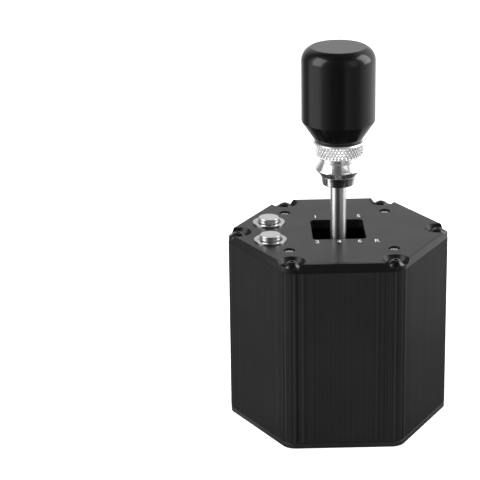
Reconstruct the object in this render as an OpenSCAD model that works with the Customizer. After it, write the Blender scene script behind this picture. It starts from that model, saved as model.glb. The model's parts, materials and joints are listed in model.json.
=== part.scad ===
// Gear shifter for racing simulators: a lever on a two-axis gimbal in a hexagonal case,
// with a six-gear gate, a push-down reverse and two push buttons.
// Millimetres. +Z is up, the front face looks along -Y, and the case stands on Z = 0.

/* [Case] */
// Width of the case across its flats
case_flats = 108; // [104:1:118]
// Height of the case from its underside to its top face
case_h = 108; // [106:1:120]
// Radius of the upright corners
case_corner_r = 8; // [7:0.5:9]
// Wall of the extruded housing
wall = 3.5; // [3:0.25:4]
// Thickness of the base plate
base_t = 3; // [2.5:0.25:3.5]
// Thickness of the top plate
top_t = 5; // [4.5:0.25:6]

/* [Corner screws] */
// Distance of the corner screws from the sharp corners of the case's hexagon
corner_screw_inset = 6.75; // [6.5:0.05:7.5]
// Thread diameter of the corner screws
corner_screw_d = 5; // [4:0.5:5]
// Head diameter of the corner screws
corner_head_d = 10; // [9:0.25:10.5]
// Head height of the corner screws
corner_head_h = 2.5; // [2.2:0.1:2.6]
// Radius of the corner notches at the top face; they narrow downwards and are open outside
notch_r = 7.5; // [7:0.1:8]
// Depth of the corner notches
notch_depth = 2.6; // [2.4:0.1:2.8]

/* [Lever opening and mechanism screws] */
// Width of the lever opening
opening_w = 29.5; // [29:0.5:33]
// Depth of the lever opening, front to back
opening_l = 32.2; // [32:0.2:34]
// Distance of the opening's middle behind the lever
opening_back = 1.3; // [1:0.1:1.4]
// Radius of the opening's corners
opening_r = 2.5; // [1:0.25:3]
// Distance of the mechanism screws from the middle, left and right
station_x = 28.5; // [27.5:0.25:29.5]
// Distance of the mechanism screws from the middle, front and back
station_y = 30.8; // [30:0.1:31.5]
// Thread diameter of the mechanism screws
station_screw_d = 3; // [2.5:0.5:3]
// Diameter of the counterbores of the mechanism screws
counterbore_d = 6.2; // [6:0.1:7]
// Depth of those counterbores
counterbore_depth = 3.4; // [3.2:0.1:3.6]
// Diameter of the standoffs
standoff_d = 8; // [7:0.5:8]

/* [Lever] */
// Height of the top of the knob above the top face
knob_top_rise = 105; // [98:1:115]
// Diameter of the lever rod
rod_d = 8.8; // [8:0.2:9.2]
// Height of the lower end of the collar above the top face
collar_rise = 27.2; // [25:0.2:32]
// Diameter of the lower sleeve at its lower end
sleeve_d_low = 17.9; // [17:0.1:18.5]
// Diameter of the lower sleeve at its upper end
sleeve_d_high = 19.4; // [18.6:0.1:21]
// Height of the lower sleeve
sleeve_h = 5.3; // [5:0.1:7]
// Greatest diameter of the flared collar
flare_d = 25.5; // [24:0.25:28]
// Diameter of the neck of the flared collar
neck_d = 19.5; // [18.5:0.25:22]
// Height of the flared collar with its neck
flare_h = 11.6; // [10:0.1:13]
// Diameter of the knurled lock ring
lock_ring_d = 28.3; // [27:0.1:30]
// Height of the knurled lock ring
lock_ring_h = 7.9; // [6:0.1:8.5]
// Diameter of the knob
knob_d = 40.5; // [36:0.5:44]
// Diameter of the knob's lower rim
knob_rim_d = 25.7; // [24:0.1:27]
// Height of the knob's lower cone
knob_cone_h = 11.5; // [9:0.5:14]
// Radius of the knob's upper edge
knob_edge_r = 8; // [5:0.5:9]

/* [Gimbal] */
// Depth of the gimbal's centre below the top face
pivot_drop = 43; // [42:0.5:44]
// Tilt of the lever to the left and right
select_angle = 12.5; // [11:0.5:12.5]
// Tilt of the lever to the front and back
shift_angle = 13; // [11:0.5:13]
// Travel of the lever when it is pressed for reverse
press_travel = 5; // [3:0.5:5.5]
// Height of the pivot frame
frame_h = 14; // [13:0.5:16]
// Diameter of the pivot pins
pin_d = 6; // [5:0.5:6]
// Outer diameter of the ball bearings
bearing_d = 12; // [11:0.5:12]
// Width of the ball bearings
bearing_w = 4; // [3:0.5:4.5]
// Diameter of the hub's barrel
hub_d = 18; // [17:0.5:19]
// Height of the hub's barrel
hub_h = 26; // [22:0.5:27]
// Radius of the detent cam
cam_r = 12; // [11:0.25:12.25]

/* [Gate] */
// Free height under the gate plate
gate_rise = 12; // [11:0.5:13]
// Thickness of the gate plate
gate_t = 5; // [4:0.5:6]
// Outer diameter of the follower sleeve that runs in the gate
follower_d = 6; // [5:0.25:6]
// Free space beside the follower in the gate
gate_clear = 0.4; // [0.3:0.05:0.6]

/* [Springs] */
// Wire of the centring springs
centring_wire = 1; // [0.8:0.1:1.1]
// Mean radius of the centring springs
centring_r = 3; // [2.9:0.05:3.2]
// Turns of each centring spring
centring_turns = 14; // [10:1:16]
// Wire of the press spring
press_wire = 1.2; // [1:0.1:1.3]
// Turns of the press spring
press_turns = 6; // [4:1:7]
// Wire of the button springs
button_wire = 0.7; // [0.5:0.1:0.8]
// Turns of each button spring
button_turns = 4; // [3:1:5]

/* [Push buttons] */
// Distance of the buttons from the sharp left corner of the case's hexagon
button_inset = 24.2; // [23.85:0.05:25.35]
// Distance of each button from the middle, front and back
button_y = 14.35; // [13.5:0.05:15]
// Thread diameter of the button bodies
button_d = 16; // [15:0.25:16]
// Diameter of the button bezels
bezel_d = 18; // [17.5:0.25:19]
// Height of the button bezels
bezel_h = 0.75; // [0.5:0.05:1.2]
// Diameter of the button caps
button_cap_d = 11.4; // [11:0.1:11.8]
// Height of the button caps above their bezels
button_cap_rise = 2.7; // [2.2:0.1:3]
// Travel of the button caps
button_travel = 1.8; // [1:0.1:1.9]
// Length of the button bodies below the top face
button_len = 22; // [20:0.5:24]

/* [Fixing to a rig] */
// Distance between the fixing holes, left to right
rig_hole_x = 60; // [56:1:62]
// Distance between the fixing holes, front to back
rig_hole_y = 40; // [38:1:42]
// Thread diameter of the fixing holes
rig_thread_d = 6; // [5:0.5:6]
// Height of the clinch nuts inside the base plate
rig_nut_h = 5; // [4:0.5:6]

/* [Hidden] */
$fn = 48;

// Radial play of screws, pins and rings in their holes within one assembly
seat_play = 0.03;
// Radial play of what turns or slides
run_play = 0.05;
// Gap between faces that pass or rest on each other
face_gap = 0.1;
// How far a cut runs past the face that it starts from
over = 1;

// Case
inner_flats = case_flats - 2 * wall;
inner_half = inner_flats / 2;
case_point = case_flats / 2 / cos(30);
corner_screw_circle = case_point - corner_screw_inset;
button_x = case_point - button_inset;
top_under = case_h - top_t;
corner_arc_steps = 8;
screw_boss_r = corner_screw_d / 2 + 3;
top_screw_len = 12;
base_head_r = corner_screw_d * 0.9;
base_head_h = 2.2;
base_head_edge = 0.2;
base_socket_depth = 1.5;
base_screw_len = 12;
station_screw_len = 10;
station_head_h = 2.3;
upper_tap = 12;
lower_tap = 10;
stud_len = 8;
gate_screw_grip = 6;
notch_floor = case_h - notch_depth;
notch_play = 0.9;
notch_floor_r = corner_head_d / 2 + notch_play;
notch_slope = (notch_r - notch_floor_r) / notch_depth;
notch_reach = 6;

// Gimbal, measured from its centre
pivot_z = case_h - pivot_drop;
rod_r = rod_d / 2;
pin_r = pin_d / 2;
bearing_r = bearing_d / 2;
bearing_hole_r = pin_r + 0.6;
hub_half_x = 10.5;
hub_half_y = 7;
hub_half_z = 7;
washer_t = 0.8;
washer_r = 5;
yoke_in_x = hub_half_x + washer_t + 2 * face_gap;
yoke_x = 20;
yoke_in_y = 17;
yoke_y = 24;
yoke_half_z = 7;
yoke_boss_r = 4.5;
frame_in_y = yoke_y + 2;
frame_station_edge = 5.2;
frame_y = station_y + frame_station_edge;
frame_in_x = 39;
frame_boss_gap = 4.1;
frame_x = corner_screw_circle - screw_boss_r - frame_boss_gap;
frame_case_gap = 2.5;
frame_half_h = frame_h / 2;
arm_in_y = cam_r + 1;
arm_w = 7;
arm_y = arm_in_y + arm_w;
arm_high = -1;
arm_low = -5;
bar_in_x = 29.5;
bar_x = 36.5;
spring_x = (bar_in_x + bar_x) / 2;

// Sensors on the pivots
magnet_r = 3;
magnet_t = 2.5;
magnet_gap = 1.5;
chip_t = 1.4;
board_t = 1.6;
board_half = 9;
board_screw_r = 1;
board_head_r = 1.9;
board_head_h = 1.2;
board_post_r = 2.4;
board_post_off = 6.8;
board_screw_grip = 4;
chip_w = 5;
chip_h = 4;
sensor_plug_w = 10;
sensor_plug_l = 3;
sensor_plug_h = 4.5;
sensor_plug_z = 3.5;
sink_in = 0.2;
select_pin_end = frame_y + 0.5;
select_board_y = select_pin_end + magnet_t + magnet_gap + chip_t;
shift_pin_end = yoke_x + 1;
shift_board_x = shift_pin_end + magnet_t + magnet_gap + chip_t;
cam_x = shift_pin_end + 0.5;
cam_t = 4;

// Detent
cam_notch_r = 1.2;
cam_notch_out = 0.3;
leaf_t = 0.6;
leaf_z = cam_r + 1;
leaf_post_y = arm_in_y + arm_w / 2;
leaf_post_half = 2.5;
leaf_reach = 6;
leaf_screw_r = 1.25;
leaf_head_r = 2.2;
leaf_head_h = 1.6;
leaf_screw_len = 6;
pin_end_gap = 0.8;
cam_pin_end = 0.5;

// Gate and the lever's lower end
gate_low = base_t + gate_rise;
gate_high = gate_low + gate_t;
follower_r = follower_d / 2;
arm_to_gate_low = pivot_z - gate_low;
arm_to_gate_high = pivot_z - gate_high;
follower_reach = follower_r / (cos(select_angle) * cos(shift_angle)) + gate_clear;
column_near = arm_to_gate_high * tan(select_angle) - follower_reach;
column_far = arm_to_gate_low * tan(select_angle) + follower_reach;
column_y = arm_to_gate_low * tan(shift_angle) / cos(select_angle) + follower_reach;
neutral_half = follower_r + gate_clear;
follower_pin_r = follower_r - 1;
follower_head_h = 1.4;
follower_low = gate_low - 4;
follower_lap = 11;
follower_high = gate_high + press_travel + follower_lap;

// Hub, stop and press spring
hub_low = pivot_z - hub_h / 2;
hub_high = pivot_z + hub_h / 2;
stop_r = 7;
stop_h = 6;
press_spring_h = 16;
press_spring_r = rod_r + 0.5 + press_wire / 2;
retainer_r = 7.5;
retainer_h = 3;
retainer_screw_r = 0.8;
sensor_flat = 8;
press_board_w = 10;
press_chip_w = 4;
press_chip_h = 3;
press_chip_t = 1;
post_r = centring_r - centring_wire / 2 - 0.4;
post_foot_r = 1.5;
post_h = 18;

// Lever stack above the case
collar_z = case_h + collar_rise;
flare_z = collar_z + sleeve_h;
lock_z = flare_z + flare_h;
knob_gap = 0.3;
knob_z = lock_z + lock_ring_h + knob_gap;
knob_top = case_h + knob_top_rise;
knob_r = knob_d / 2;
knob_edge_angle = 64;
insert_r = 6.5;
insert_h = 22;
thread_r = rod_r - 0.4;
rod_top = knob_z + insert_h - 3;

// Push buttons
nut_flats = button_d + 3;
nut_h = 3.5;
cap_flange_h = 2;
button_recess_r = button_cap_d / 2 + 1;
button_recess_h = 1.35;
cap_flange_r = button_cap_d / 2 + 0.9;
button_wall_h = 8;
button_shoulder = case_h - button_wall_h;
cap_low = button_shoulder - face_gap - cap_flange_h;
button_spring_h = 8;
switch_top = cap_low - button_spring_h;
button_low = case_h - button_len;
switch_r = button_d / 2 - 1.5;
switch_drop = 5;
switch_skirt = 1;
terminal_drop = 4;
terminal_pitch = 3.5;
terminal_w = 1.8;
terminal_t = 0.5;

// Main board and its socket
pcb_half_x = 20;
pcb_front_y = 19;
pcb_back_gap = 6.5;
pcb_back_y = inner_half - pcb_back_gap;
pcb_rise = 4;
pcb_z = base_t + pcb_rise;
pcb_hole_x = 16.5;
pcb_hole_in = 3;
pcb_post_r = 2.5;
pcb_screw_r = board_screw_r + 0.3;
pcb_screw_grip = 3;
pcb_head_r = 2.3;
pcb_head_h = 1.3;
main_chip_w = 10;
main_chip_h = 1.2;
main_chip_in = 6;
main_chip_y = pcb_front_y + main_chip_in;
main_plug_xs = [-12, 7];
main_plug_w = 5;
main_plug_l = 3.5;
main_plug_h = 3;
main_plug_y = pcb_front_y + 1.5;
socket_w = 9;
socket_h = 3.3;
socket_l = 7.5;
socket_z = pcb_z + board_t + socket_h / 2;
socket_shell = 0.3;
socket_cut_w = 13;
socket_cut_h = 7;
tongue_w = 6.6;
tongue_h = 0.7;
tongue_in = 1;

// Spring measuring
turn_rings = 8;
wire_sides = 6;

// Points of an arc from angle a0 to angle a1
function arc(cx, cy, r, a0, a1, steps) = [
  for (i = [0:steps]) let (a = a0 + (a1 - a0) * i / steps) [cx + r * cos(a), cy + r * sin(a)]
];

// A hexagon with rounded corners, two of them on the X axis
function rounded_hex(flats, r) = [
  for (i = [0:5])
    let (c = (flats / 2 - r) / cos(30), a = 60 * i)
      each arc(c * cos(a), c * sin(a), r, a - 30, a + 30, corner_arc_steps)
];

// A rectangle with rounded corners between two opposite points
function rounded_box(x0, x1, y0, y1, r) = concat(
  arc(x1 - r, y1 - r, r, 0, 90, 5), arc(x0 + r, y1 - r, r, 90, 180, 5),
  arc(x0 + r, y0 + r, r, 180, 270, 5), arc(x1 - r, y0 + r, r, 270, 360, 5)
);

// Centre line of a coil of wire that stands between two flat seats
function coil_line(r, wire, z0, z1, turns) = [
  for (i = [0:turns * turn_rings])
    let (t = i / (turns * turn_rings), a = 360 * turns * t)
      [r * cos(a), r * sin(a), z0 + wire / 2 + (z1 - z0 - wire) * t]
];

// Least gap between the turns of a coil, measured between points half a turn or more apart
function coil_gap(line, wire) = min([
  for (i = [0:len(line) - 1], j = [i + turn_rings / 2:1:len(line) - 1]) norm(line[i] - line[j])
]) - wire;

module coil(name, r, wire, z0, z1, turns) {
  line = coil_line(r, wire, z0, z1, turns);
  echo(str(name, ": least gap between its turns ", coil_gap(line, wire), " mm"));
  last = len(line) - 1;
  points = [
    for (i = [0:last], k = [0:wire_sides - 1])
      let (a = 360 * i / turn_rings, b = 360 * k / wire_sides, d = wire / 2 * cos(b))
        [line[i][0] + d * cos(a), line[i][1] + d * sin(a), line[i][2] + wire / 2 * sin(b)]
  ];
  sides = [
    for (i = [0:last - 1], k = [0:wire_sides - 1])
      let (a = i * wire_sides + k, b = i * wire_sides + (k + 1) % wire_sides)
        each [[a, a + wire_sides, b], [b, a + wire_sides, b + wire_sides]]
  ];
  first_end = [for (k = [1:wire_sides - 2]) [0, k, k + 1]];
  last_end = [for (k = [1:wire_sides - 2]) [0, k + 1, k] + last * wire_sides * [1, 1, 1]];
  polyhedron(points, concat(sides, first_end, last_end));
}

module at_corners() {
  for (i = [0:5]) rotate([0, 0, 60 * i]) translate([corner_screw_circle, 0, 0]) children();
}

module at_stations() {
  for (x = [-1, 1], y = [-1, 1]) translate([x * station_x, y * station_y, 0]) children();
}

module at_rig_holes() {
  for (x = [-1, 1], y = [-1, 1]) translate([x * rig_hole_x / 2, y * rig_hole_y / 2, 0]) children();
}

module at_pcb_holes() {
  for (x = [-1, 1], y = [pcb_front_y + pcb_hole_in, pcb_back_y - pcb_hole_in])
    translate([x * pcb_hole_x, y, 0]) children();
}

// An upright cylinder between two heights
module post(r, z0, z1) {
  translate([0, 0, z0]) cylinder(r = r, h = z1 - z0);
}

// An upright tube between two heights
module tube(r_out, r_in, z0, z1) {
  difference() {
    post(r_out, z0, z1);
    post(r_in, z0 - over, z1 + over);
  }
}

// A cylinder along X at the height of the gimbal's centre
module x_post(r, x0, x1) {
  translate([x0, 0, pivot_z]) rotate([0, 90, 0]) cylinder(r = r, h = x1 - x0);
}

// A cylinder along Y at the height of the gimbal's centre
module y_post(r, y0, y1) {
  translate([0, y1, pivot_z]) rotate([90, 0, 0]) cylinder(r = r, h = y1 - y0);
}

module box(x0, x1, y0, y1, z0, z1) {
  translate([x0, y0, z0]) cube([x1 - x0, y1 - y0, z1 - z0]);
}

// A screw with its head's underside at Z = 0, its shank down and a hexagon socket
module socket_screw(r, len, head_r, head_h, dome) {
  difference() {
    union() {
      post(r, -len, over / 2);
      rotate_extrude()
        polygon(concat([[0, 0], [head_r, 0]],
                       [for (p = arc(head_r - dome, head_h - dome, dome, 0, 90, 4)) p],
                       [[0, head_h]]));
    }
    translate([0, 0, head_h * 0.4]) cylinder(r = head_r * 0.55, h = head_h, $fn = 6);
  }
}

// A button head screw, placed as socket_screw: its head is a low cone with a rounded top
module button_screw(r, len, head_r, head_h) {
  edge = 0.15;
  difference() {
    union() {
      post(r, -len, over / 2);
      rotate_extrude() polygon([
        [0, 0], [head_r, 0], [head_r, edge], [head_r * 0.62, head_h * 0.66],
        [head_r * 0.46, head_h * 0.9], [head_r * 0.32, head_h], [0, head_h]
      ]);
    }
    translate([0, 0, head_h * 0.4]) cylinder(r = head_r * 0.26, h = head_h, $fn = 6);
  }
}

// Ring of a ball bearing with the shields sunk between its races, along Z
module bearing(r_out, r_in, w) {
  shield = 0.3;
  race = (r_out - r_in) / 4;
  difference() {
    post(r_out, 0, w);
    post(r_in, -over, w + over);
    tube(r_out - race, r_in + race, -over, shield);
    tube(r_out - race, r_in + race, w - shield, w + over);
  }
}

module base_plate() {
  color("dimgray") difference() {
    linear_extrude(base_t) polygon(rounded_hex(case_flats, case_corner_r));
    at_corners() {
      post(corner_screw_d / 2 + seat_play, -over, base_t + over);
      base_sink(seat_play);
    }
    at_rig_holes() post(rig_thread_d / 2, -over, base_t + over);
  }
}

// Countersink of a base screw, a little larger than the screw's head by play
module base_sink(play) {
  rotate_extrude()
    polygon([[0, -play], [base_head_r + play, -play], [base_head_r + play, base_head_edge],
             [corner_screw_d / 2 + play, base_head_h], [0, base_head_h]]);
}

module housing() {
  color([0.13, 0.13, 0.14]) difference() {
    translate([0, 0, base_t]) linear_extrude(top_under - base_t) difference() {
      polygon(rounded_hex(case_flats, case_corner_r));
      difference() {
        polygon(rounded_hex(inner_flats, case_corner_r - wall));
        at_corners() circle(r = screw_boss_r);
      }
      at_corners() circle(r = corner_screw_d / 2 + seat_play);
    }
    translate([0, inner_half - over, socket_z]) rotate([-90, 0, 0])
      linear_extrude(wall + 2 * over)
        polygon(rounded_box(-socket_cut_w / 2, socket_cut_w / 2, -socket_cut_h / 2, socket_cut_h / 2, 2));
  }
}

module top_plate() {
  color([0.34, 0.34, 0.35]) difference() {
    translate([0, 0, top_under]) linear_extrude(top_t) difference() {
      polygon(rounded_hex(case_flats, case_corner_r));
      polygon(rounded_box(-opening_w / 2, opening_w / 2, opening_back - opening_l / 2,
                          opening_back + opening_l / 2, opening_r));
    }
    at_corners() {
      hull() for (out = [0, notch_reach]) translate([out, 0, notch_floor])
        cylinder(r1 = notch_floor_r, r2 = notch_r + notch_slope * over, h = notch_depth + over);
      post(corner_screw_d / 2 + seat_play, top_under - over, case_h);
    }
    at_stations() {
      post(counterbore_d / 2, case_h - counterbore_depth, case_h + over);
      post(station_screw_d / 2 + seat_play, top_under - over, case_h);
    }
    for (s = [-1, 1]) translate([-button_x, s * button_y, 0])
      post(button_d / 2 + seat_play, top_under - over, case_h + over);
  }
}

module top_screws() {
  color("black") at_corners() translate([0, 0, notch_floor])
    button_screw(corner_screw_d / 2, top_screw_len, corner_head_d / 2, corner_head_h);
}

module base_screws() {
  color("black") at_corners() difference() {
    union() {
      base_sink(0);
      post(corner_screw_d / 2, 0, base_screw_len);
    }
    translate([0, 0, -over])
      cylinder(r = base_head_r * 0.5, h = over + base_socket_depth, $fn = 6);
  }
}

module base_nuts() {
  color("silver") at_rig_holes() difference() {
    translate([0, 0, base_t]) cylinder(r = rig_thread_d * 0.95, h = rig_nut_h, $fn = 6);
    post(rig_thread_d / 2, 0, base_t + rig_nut_h + over);
  }
}

module station_screws() {
  color("black") at_stations() translate([0, 0, case_h - counterbore_depth])
    socket_screw(station_screw_d / 2, station_screw_len, station_screw_d * 0.92, station_head_h, 0.3);
}

// A hexagon plate cut to the mechanism's depth and width, which fits in the case
module mechanism_outline() {
  intersection() {
    polygon(rounded_hex(inner_flats - 2 * frame_case_gap, 3));
    square([2 * frame_x, 2 * frame_y], center = true);
  }
}

module upper_standoffs() {
  color("gainsboro") at_stations() difference() {
    union() {
      post(standoff_d / 2, pivot_z + frame_half_h, top_under);
      post(station_screw_d / 2, pivot_z - frame_half_h - stud_len, pivot_z + frame_half_h + over);
    }
    post(station_screw_d / 2 + seat_play, top_under - upper_tap, top_under + over);
  }
}

module pivot_frame() {
  color("silver") difference() {
    union() {
      translate([0, 0, pivot_z - frame_half_h]) linear_extrude(frame_h) difference() {
        mechanism_outline();
        polygon(rounded_box(-frame_in_x, frame_in_x, -frame_in_y, frame_in_y, 3));
      }
      for (s = [-1, 1]) translate([s * board_post_off, 0, 0])
        y_post(board_post_r, frame_y - over, select_board_y);
    }
    at_stations() post(station_screw_d / 2 + seat_play, pivot_z - frame_h, pivot_z + frame_h);
    for (s = [0, 180]) rotate([0, 0, s]) {
      y_post(bearing_r + seat_play, frame_in_y - over, frame_in_y + bearing_w);
      y_post(bearing_hole_r, frame_in_y, frame_y + over);
    }
    for (s = [-1, 1]) translate([s * board_post_off, 0, 0])
      y_post(board_screw_r + seat_play, frame_y, select_board_y + over);
  }
}

module lower_standoffs() {
  color("gainsboro") at_stations() difference() {
    post(standoff_d / 2, gate_high, pivot_z - frame_half_h);
    post(station_screw_d / 2 + seat_play, pivot_z - frame_half_h - lower_tap, pivot_z);
    post(station_screw_d / 2 + seat_play, gate_high - over, gate_high + lower_tap);
  }
}

module gate_plate() {
  color("darkgray") difference() {
    translate([0, 0, gate_low]) linear_extrude(gate_t) difference() {
      mechanism_outline();
      gate_slots();
    }
    at_stations() post(station_screw_d / 2 + seat_play, gate_low - over, gate_high + over);
    for (s = [-1, 1]) translate([s * spring_x, 0, 0])
      post(post_foot_r + seat_play, gate_low - over, gate_high + over);
  }
}

// The H of the gate: three columns joined by the neutral channel
module gate_slots() {
  round_r = 2;
  polygon(rounded_box(-neutral_half, neutral_half, -column_y, column_y, round_r));
  polygon(rounded_box(-column_far, column_far, -neutral_half, neutral_half, round_r));
  for (s = [0, 180]) rotate([0, 0, s])
    polygon(rounded_box(column_near, column_far, -column_y, column_y, round_r));
}

module gate_screws() {
  color("black") at_stations() translate([0, 0, gate_low]) mirror([0, 0, 1])
    socket_screw(station_screw_d / 2, gate_t + gate_screw_grip, station_screw_d * 0.92,
                 station_screw_d * 0.6, 0.5);
}

module select_bearings() {
  color("lightsteelblue") for (s = [0, 180]) rotate([0, 0, s])
    translate([0, frame_in_y, pivot_z]) rotate([-90, 0, 0])
      bearing(bearing_r, pin_r + run_play, bearing_w);
}

module yoke() {
  color("gray") difference() {
    union() {
      box(-yoke_x, yoke_x, -yoke_y, yoke_y, pivot_z - yoke_half_z, pivot_z + yoke_half_z);
      y_post(yoke_boss_r, -frame_in_y + face_gap, frame_in_y - face_gap);
      for (s = [0, 180]) rotate([0, 0, s]) difference() {
        box(yoke_x - over, bar_x, -arm_y, arm_y, pivot_z + arm_low, pivot_z + arm_high);
        box(yoke_x, bar_in_x, -arm_in_y, arm_in_y, pivot_z + arm_low - over, pivot_z + over);
      }
      box(cam_x, cam_x + cam_t, leaf_post_y - leaf_post_half, leaf_post_y + leaf_post_half,
          pivot_z + arm_low, pivot_z + leaf_z);
      for (s = [-1, 1]) translate([0, s * board_post_off, 0])
        x_post(board_post_r, -shift_board_x, -yoke_x + over);
    }
    box(-yoke_in_x, yoke_in_x, -yoke_in_y, yoke_in_y, pivot_z - frame_h, pivot_z + frame_h);
    y_post(pin_r + seat_play, -yoke_y - frame_h, yoke_y + frame_h);
    x_post(bearing_hole_r, -yoke_x - over, yoke_x + over);
    for (s = [0, 180]) rotate([0, 0, s])
      x_post(bearing_r + seat_play, yoke_x - bearing_w, yoke_x + over);
    for (s = [-1, 1]) translate([0, s * board_post_off, 0])
      x_post(board_screw_r + seat_play, -shift_board_x - over, -yoke_x);
    translate([cam_x + cam_t / 2, leaf_post_y, 0])
      post(leaf_screw_r + seat_play, pivot_z + leaf_z - leaf_screw_len, pivot_z + leaf_z + over);
  }
}

module select_pins() {
  color("silver") {
    y_post(pin_r, yoke_in_y + face_gap, select_pin_end);
    y_post(pin_r, -frame_y + over, -yoke_in_y - face_gap);
  }
}

module select_magnet() {
  color("lightgray") y_post(magnet_r, select_pin_end, select_pin_end + magnet_t);
}

// A small square sensor board in the XZ plane behind Y = 0, with its chip and plug in front
module sensor_board() {
  difference() {
    translate([-board_half, 0, -board_half]) cube([2 * board_half, board_t, 2 * board_half]);
    for (s = [-1, 1]) translate([s * board_post_off, board_t + over, 0]) rotate([90, 0, 0])
      cylinder(r = board_screw_r + seat_play, h = board_t + 2 * over);
  }
  translate([-chip_w / 2, -chip_t, -chip_h / 2]) cube([chip_w, chip_t + sink_in, chip_h]);
  translate([-sensor_plug_w / 2, -sensor_plug_l, sensor_plug_z])
    cube([sensor_plug_w, sensor_plug_l + sink_in, sensor_plug_h]);
}

module sensor_board_screws() {
  for (s = [-1, 1]) translate([s * board_post_off, board_t, 0]) rotate([-90, 0, 0])
    socket_screw(board_screw_r, board_t + board_screw_grip, board_head_r, board_head_h, 0.3);
}

module select_sensor_board() {
  color("seagreen") translate([0, select_board_y, pivot_z]) sensor_board();
}

module select_board_screws() {
  color("dimgray") translate([0, select_board_y, pivot_z]) sensor_board_screws();
}

module shift_bearings() {
  color("lightsteelblue") for (s = [0, 180]) rotate([0, 0, s])
    translate([yoke_x - bearing_w, 0, pivot_z]) rotate([0, 90, 0])
      bearing(bearing_r, pin_r + run_play, bearing_w);
}

module lever_hub() {
  color("lightgray") difference() {
    union() {
      post(hub_d / 2, hub_low, hub_high);
      box(-hub_half_x, hub_half_x, -hub_half_y, hub_half_y, pivot_z - hub_half_z, pivot_z + hub_half_z);
    }
    post(rod_r + run_play, hub_low - over, hub_high + over);
    for (s = [0, 180]) rotate([0, 0, s])
      x_post(pin_r + seat_play, rod_r + run_play - 0.5, hub_half_x + over);
    box(-hub_d, hub_d, -hub_d, -sensor_flat, hub_low - over, pivot_z - hub_half_z);
  }
}

module shift_pins() {
  color("silver") {
    x_post(pin_r, rod_r + pin_end_gap, cam_x + cam_t + cam_pin_end);
    x_post(pin_r, -shift_pin_end, -rod_r - pin_end_gap);
  }
}

module thrust_washers() {
  color("ivory") for (s = [0, 180]) rotate([0, 0, s]) difference() {
    x_post(washer_r, hub_half_x + face_gap, hub_half_x + face_gap + washer_t);
    x_post(pin_r + run_play, hub_half_x - over, yoke_x);
  }
}

module shift_magnet() {
  color("lightgray") x_post(magnet_r, -shift_pin_end - magnet_t, -shift_pin_end);
}

module shift_sensor_board() {
  color("seagreen") translate([-shift_board_x, 0, pivot_z]) rotate([0, 0, 90]) sensor_board();
}

module shift_board_screws() {
  color("dimgray") translate([-shift_board_x, 0, pivot_z]) rotate([0, 0, 90]) sensor_board_screws();
}

module detent_cam() {
  color("darkgoldenrod") difference() {
    x_post(cam_r, cam_x, cam_x + cam_t);
    x_post(pin_r + seat_play, cam_x - over, cam_x + cam_t + over);
    for (a = [-shift_angle, 0, shift_angle])
      translate([0, 0, pivot_z]) rotate([a, 0, 0])
        translate([cam_x - over, 0, cam_r + cam_notch_out]) rotate([0, 90, 0])
          cylinder(r = cam_notch_r, h = cam_t + 2 * over);
  }
}

module detent_leaf() {
  color("slategray") difference() {
    union() {
      box(cam_x, cam_x + cam_t, -leaf_reach, leaf_post_y + leaf_post_half,
          pivot_z + leaf_z, pivot_z + leaf_z + leaf_t);
      translate([cam_x, 0, pivot_z + cam_r + cam_notch_out]) rotate([0, 90, 0])
        cylinder(r = cam_notch_r - face_gap, h = cam_t);
    }
    translate([cam_x + cam_t / 2, leaf_post_y, 0])
      post(leaf_screw_r + seat_play, pivot_z, pivot_z + leaf_z + leaf_t + over);
  }
}

module leaf_screw() {
  color("dimgray") translate([cam_x + cam_t / 2, leaf_post_y, pivot_z + leaf_z + leaf_t])
    socket_screw(leaf_screw_r, leaf_screw_len, leaf_head_r, leaf_head_h, 0.4);
}

module centring_spring(side) {
  translate([side * spring_x, 0, 0])
    coil("centring spring", centring_r, centring_wire, gate_high, pivot_z + arm_low, centring_turns);
}

module left_centring_spring() {
  color("lightslategray") centring_spring(-1);
}

module right_centring_spring() {
  color("lightslategray") centring_spring(1);
}

module spring_posts() {
  color("silver") for (s = [-1, 1]) translate([s * spring_x, 0, 0]) {
    post(post_r, gate_high, gate_high + post_h);
    post(post_foot_r, gate_low, gate_high + over);
  }
}

module lever_rod() {
  color("gainsboro") {
    post(follower_pin_r, follower_low, follower_high + over);
    post(rod_r, follower_high, lock_z);
    post(thread_r, lock_z - over, rod_top);
  }
}

module press_spring() {
  color("lightslategray")
    coil("press spring", press_spring_r, press_wire, hub_high, hub_high + press_spring_h, press_turns);
}

module spring_retainer() {
  color("darkgray") difference() {
    tube(retainer_r, rod_r + seat_play, hub_high + press_spring_h,
         hub_high + press_spring_h + retainer_h);
    translate([0, 0, hub_high + press_spring_h + retainer_h / 2]) rotate([90, 0, 0])
      cylinder(r = retainer_screw_r, h = retainer_r + over);
  }
}

module stop_nut() {
  color("darkgray") difference() {
    translate([0, 0, hub_low - face_gap - stop_h]) cylinder(r = stop_r, h = stop_h, $fn = 6);
    post(rod_r + seat_play, hub_low - stop_h - over, hub_low);
  }
}

module press_sensor() {
  board_y = -sensor_flat - board_t;
  color("seagreen") {
    box(-press_board_w / 2, press_board_w / 2, board_y, -sensor_flat, hub_low + 0.5,
        pivot_z - hub_half_z - 0.5);
    box(-press_chip_w / 2, press_chip_w / 2, board_y - press_chip_t, board_y + sink_in, hub_low + 1,
        hub_low + 1 + press_chip_h);
  }
}

module follower_sleeve() {
  color("ivory") tube(follower_r, follower_pin_r + seat_play, follower_low, follower_high - face_gap);
}

module follower_screw() {
  color("dimgray") post(follower_r - 0.2, follower_low - follower_head_h, follower_low);
}

module lower_sleeve() {
  color("darkgray") difference() {
    translate([0, 0, collar_z])
      cylinder(r1 = sleeve_d_low / 2, r2 = sleeve_d_high / 2, h = sleeve_h);
    post(rod_r + seat_play, collar_z - over, flare_z + over);
  }
}

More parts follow.
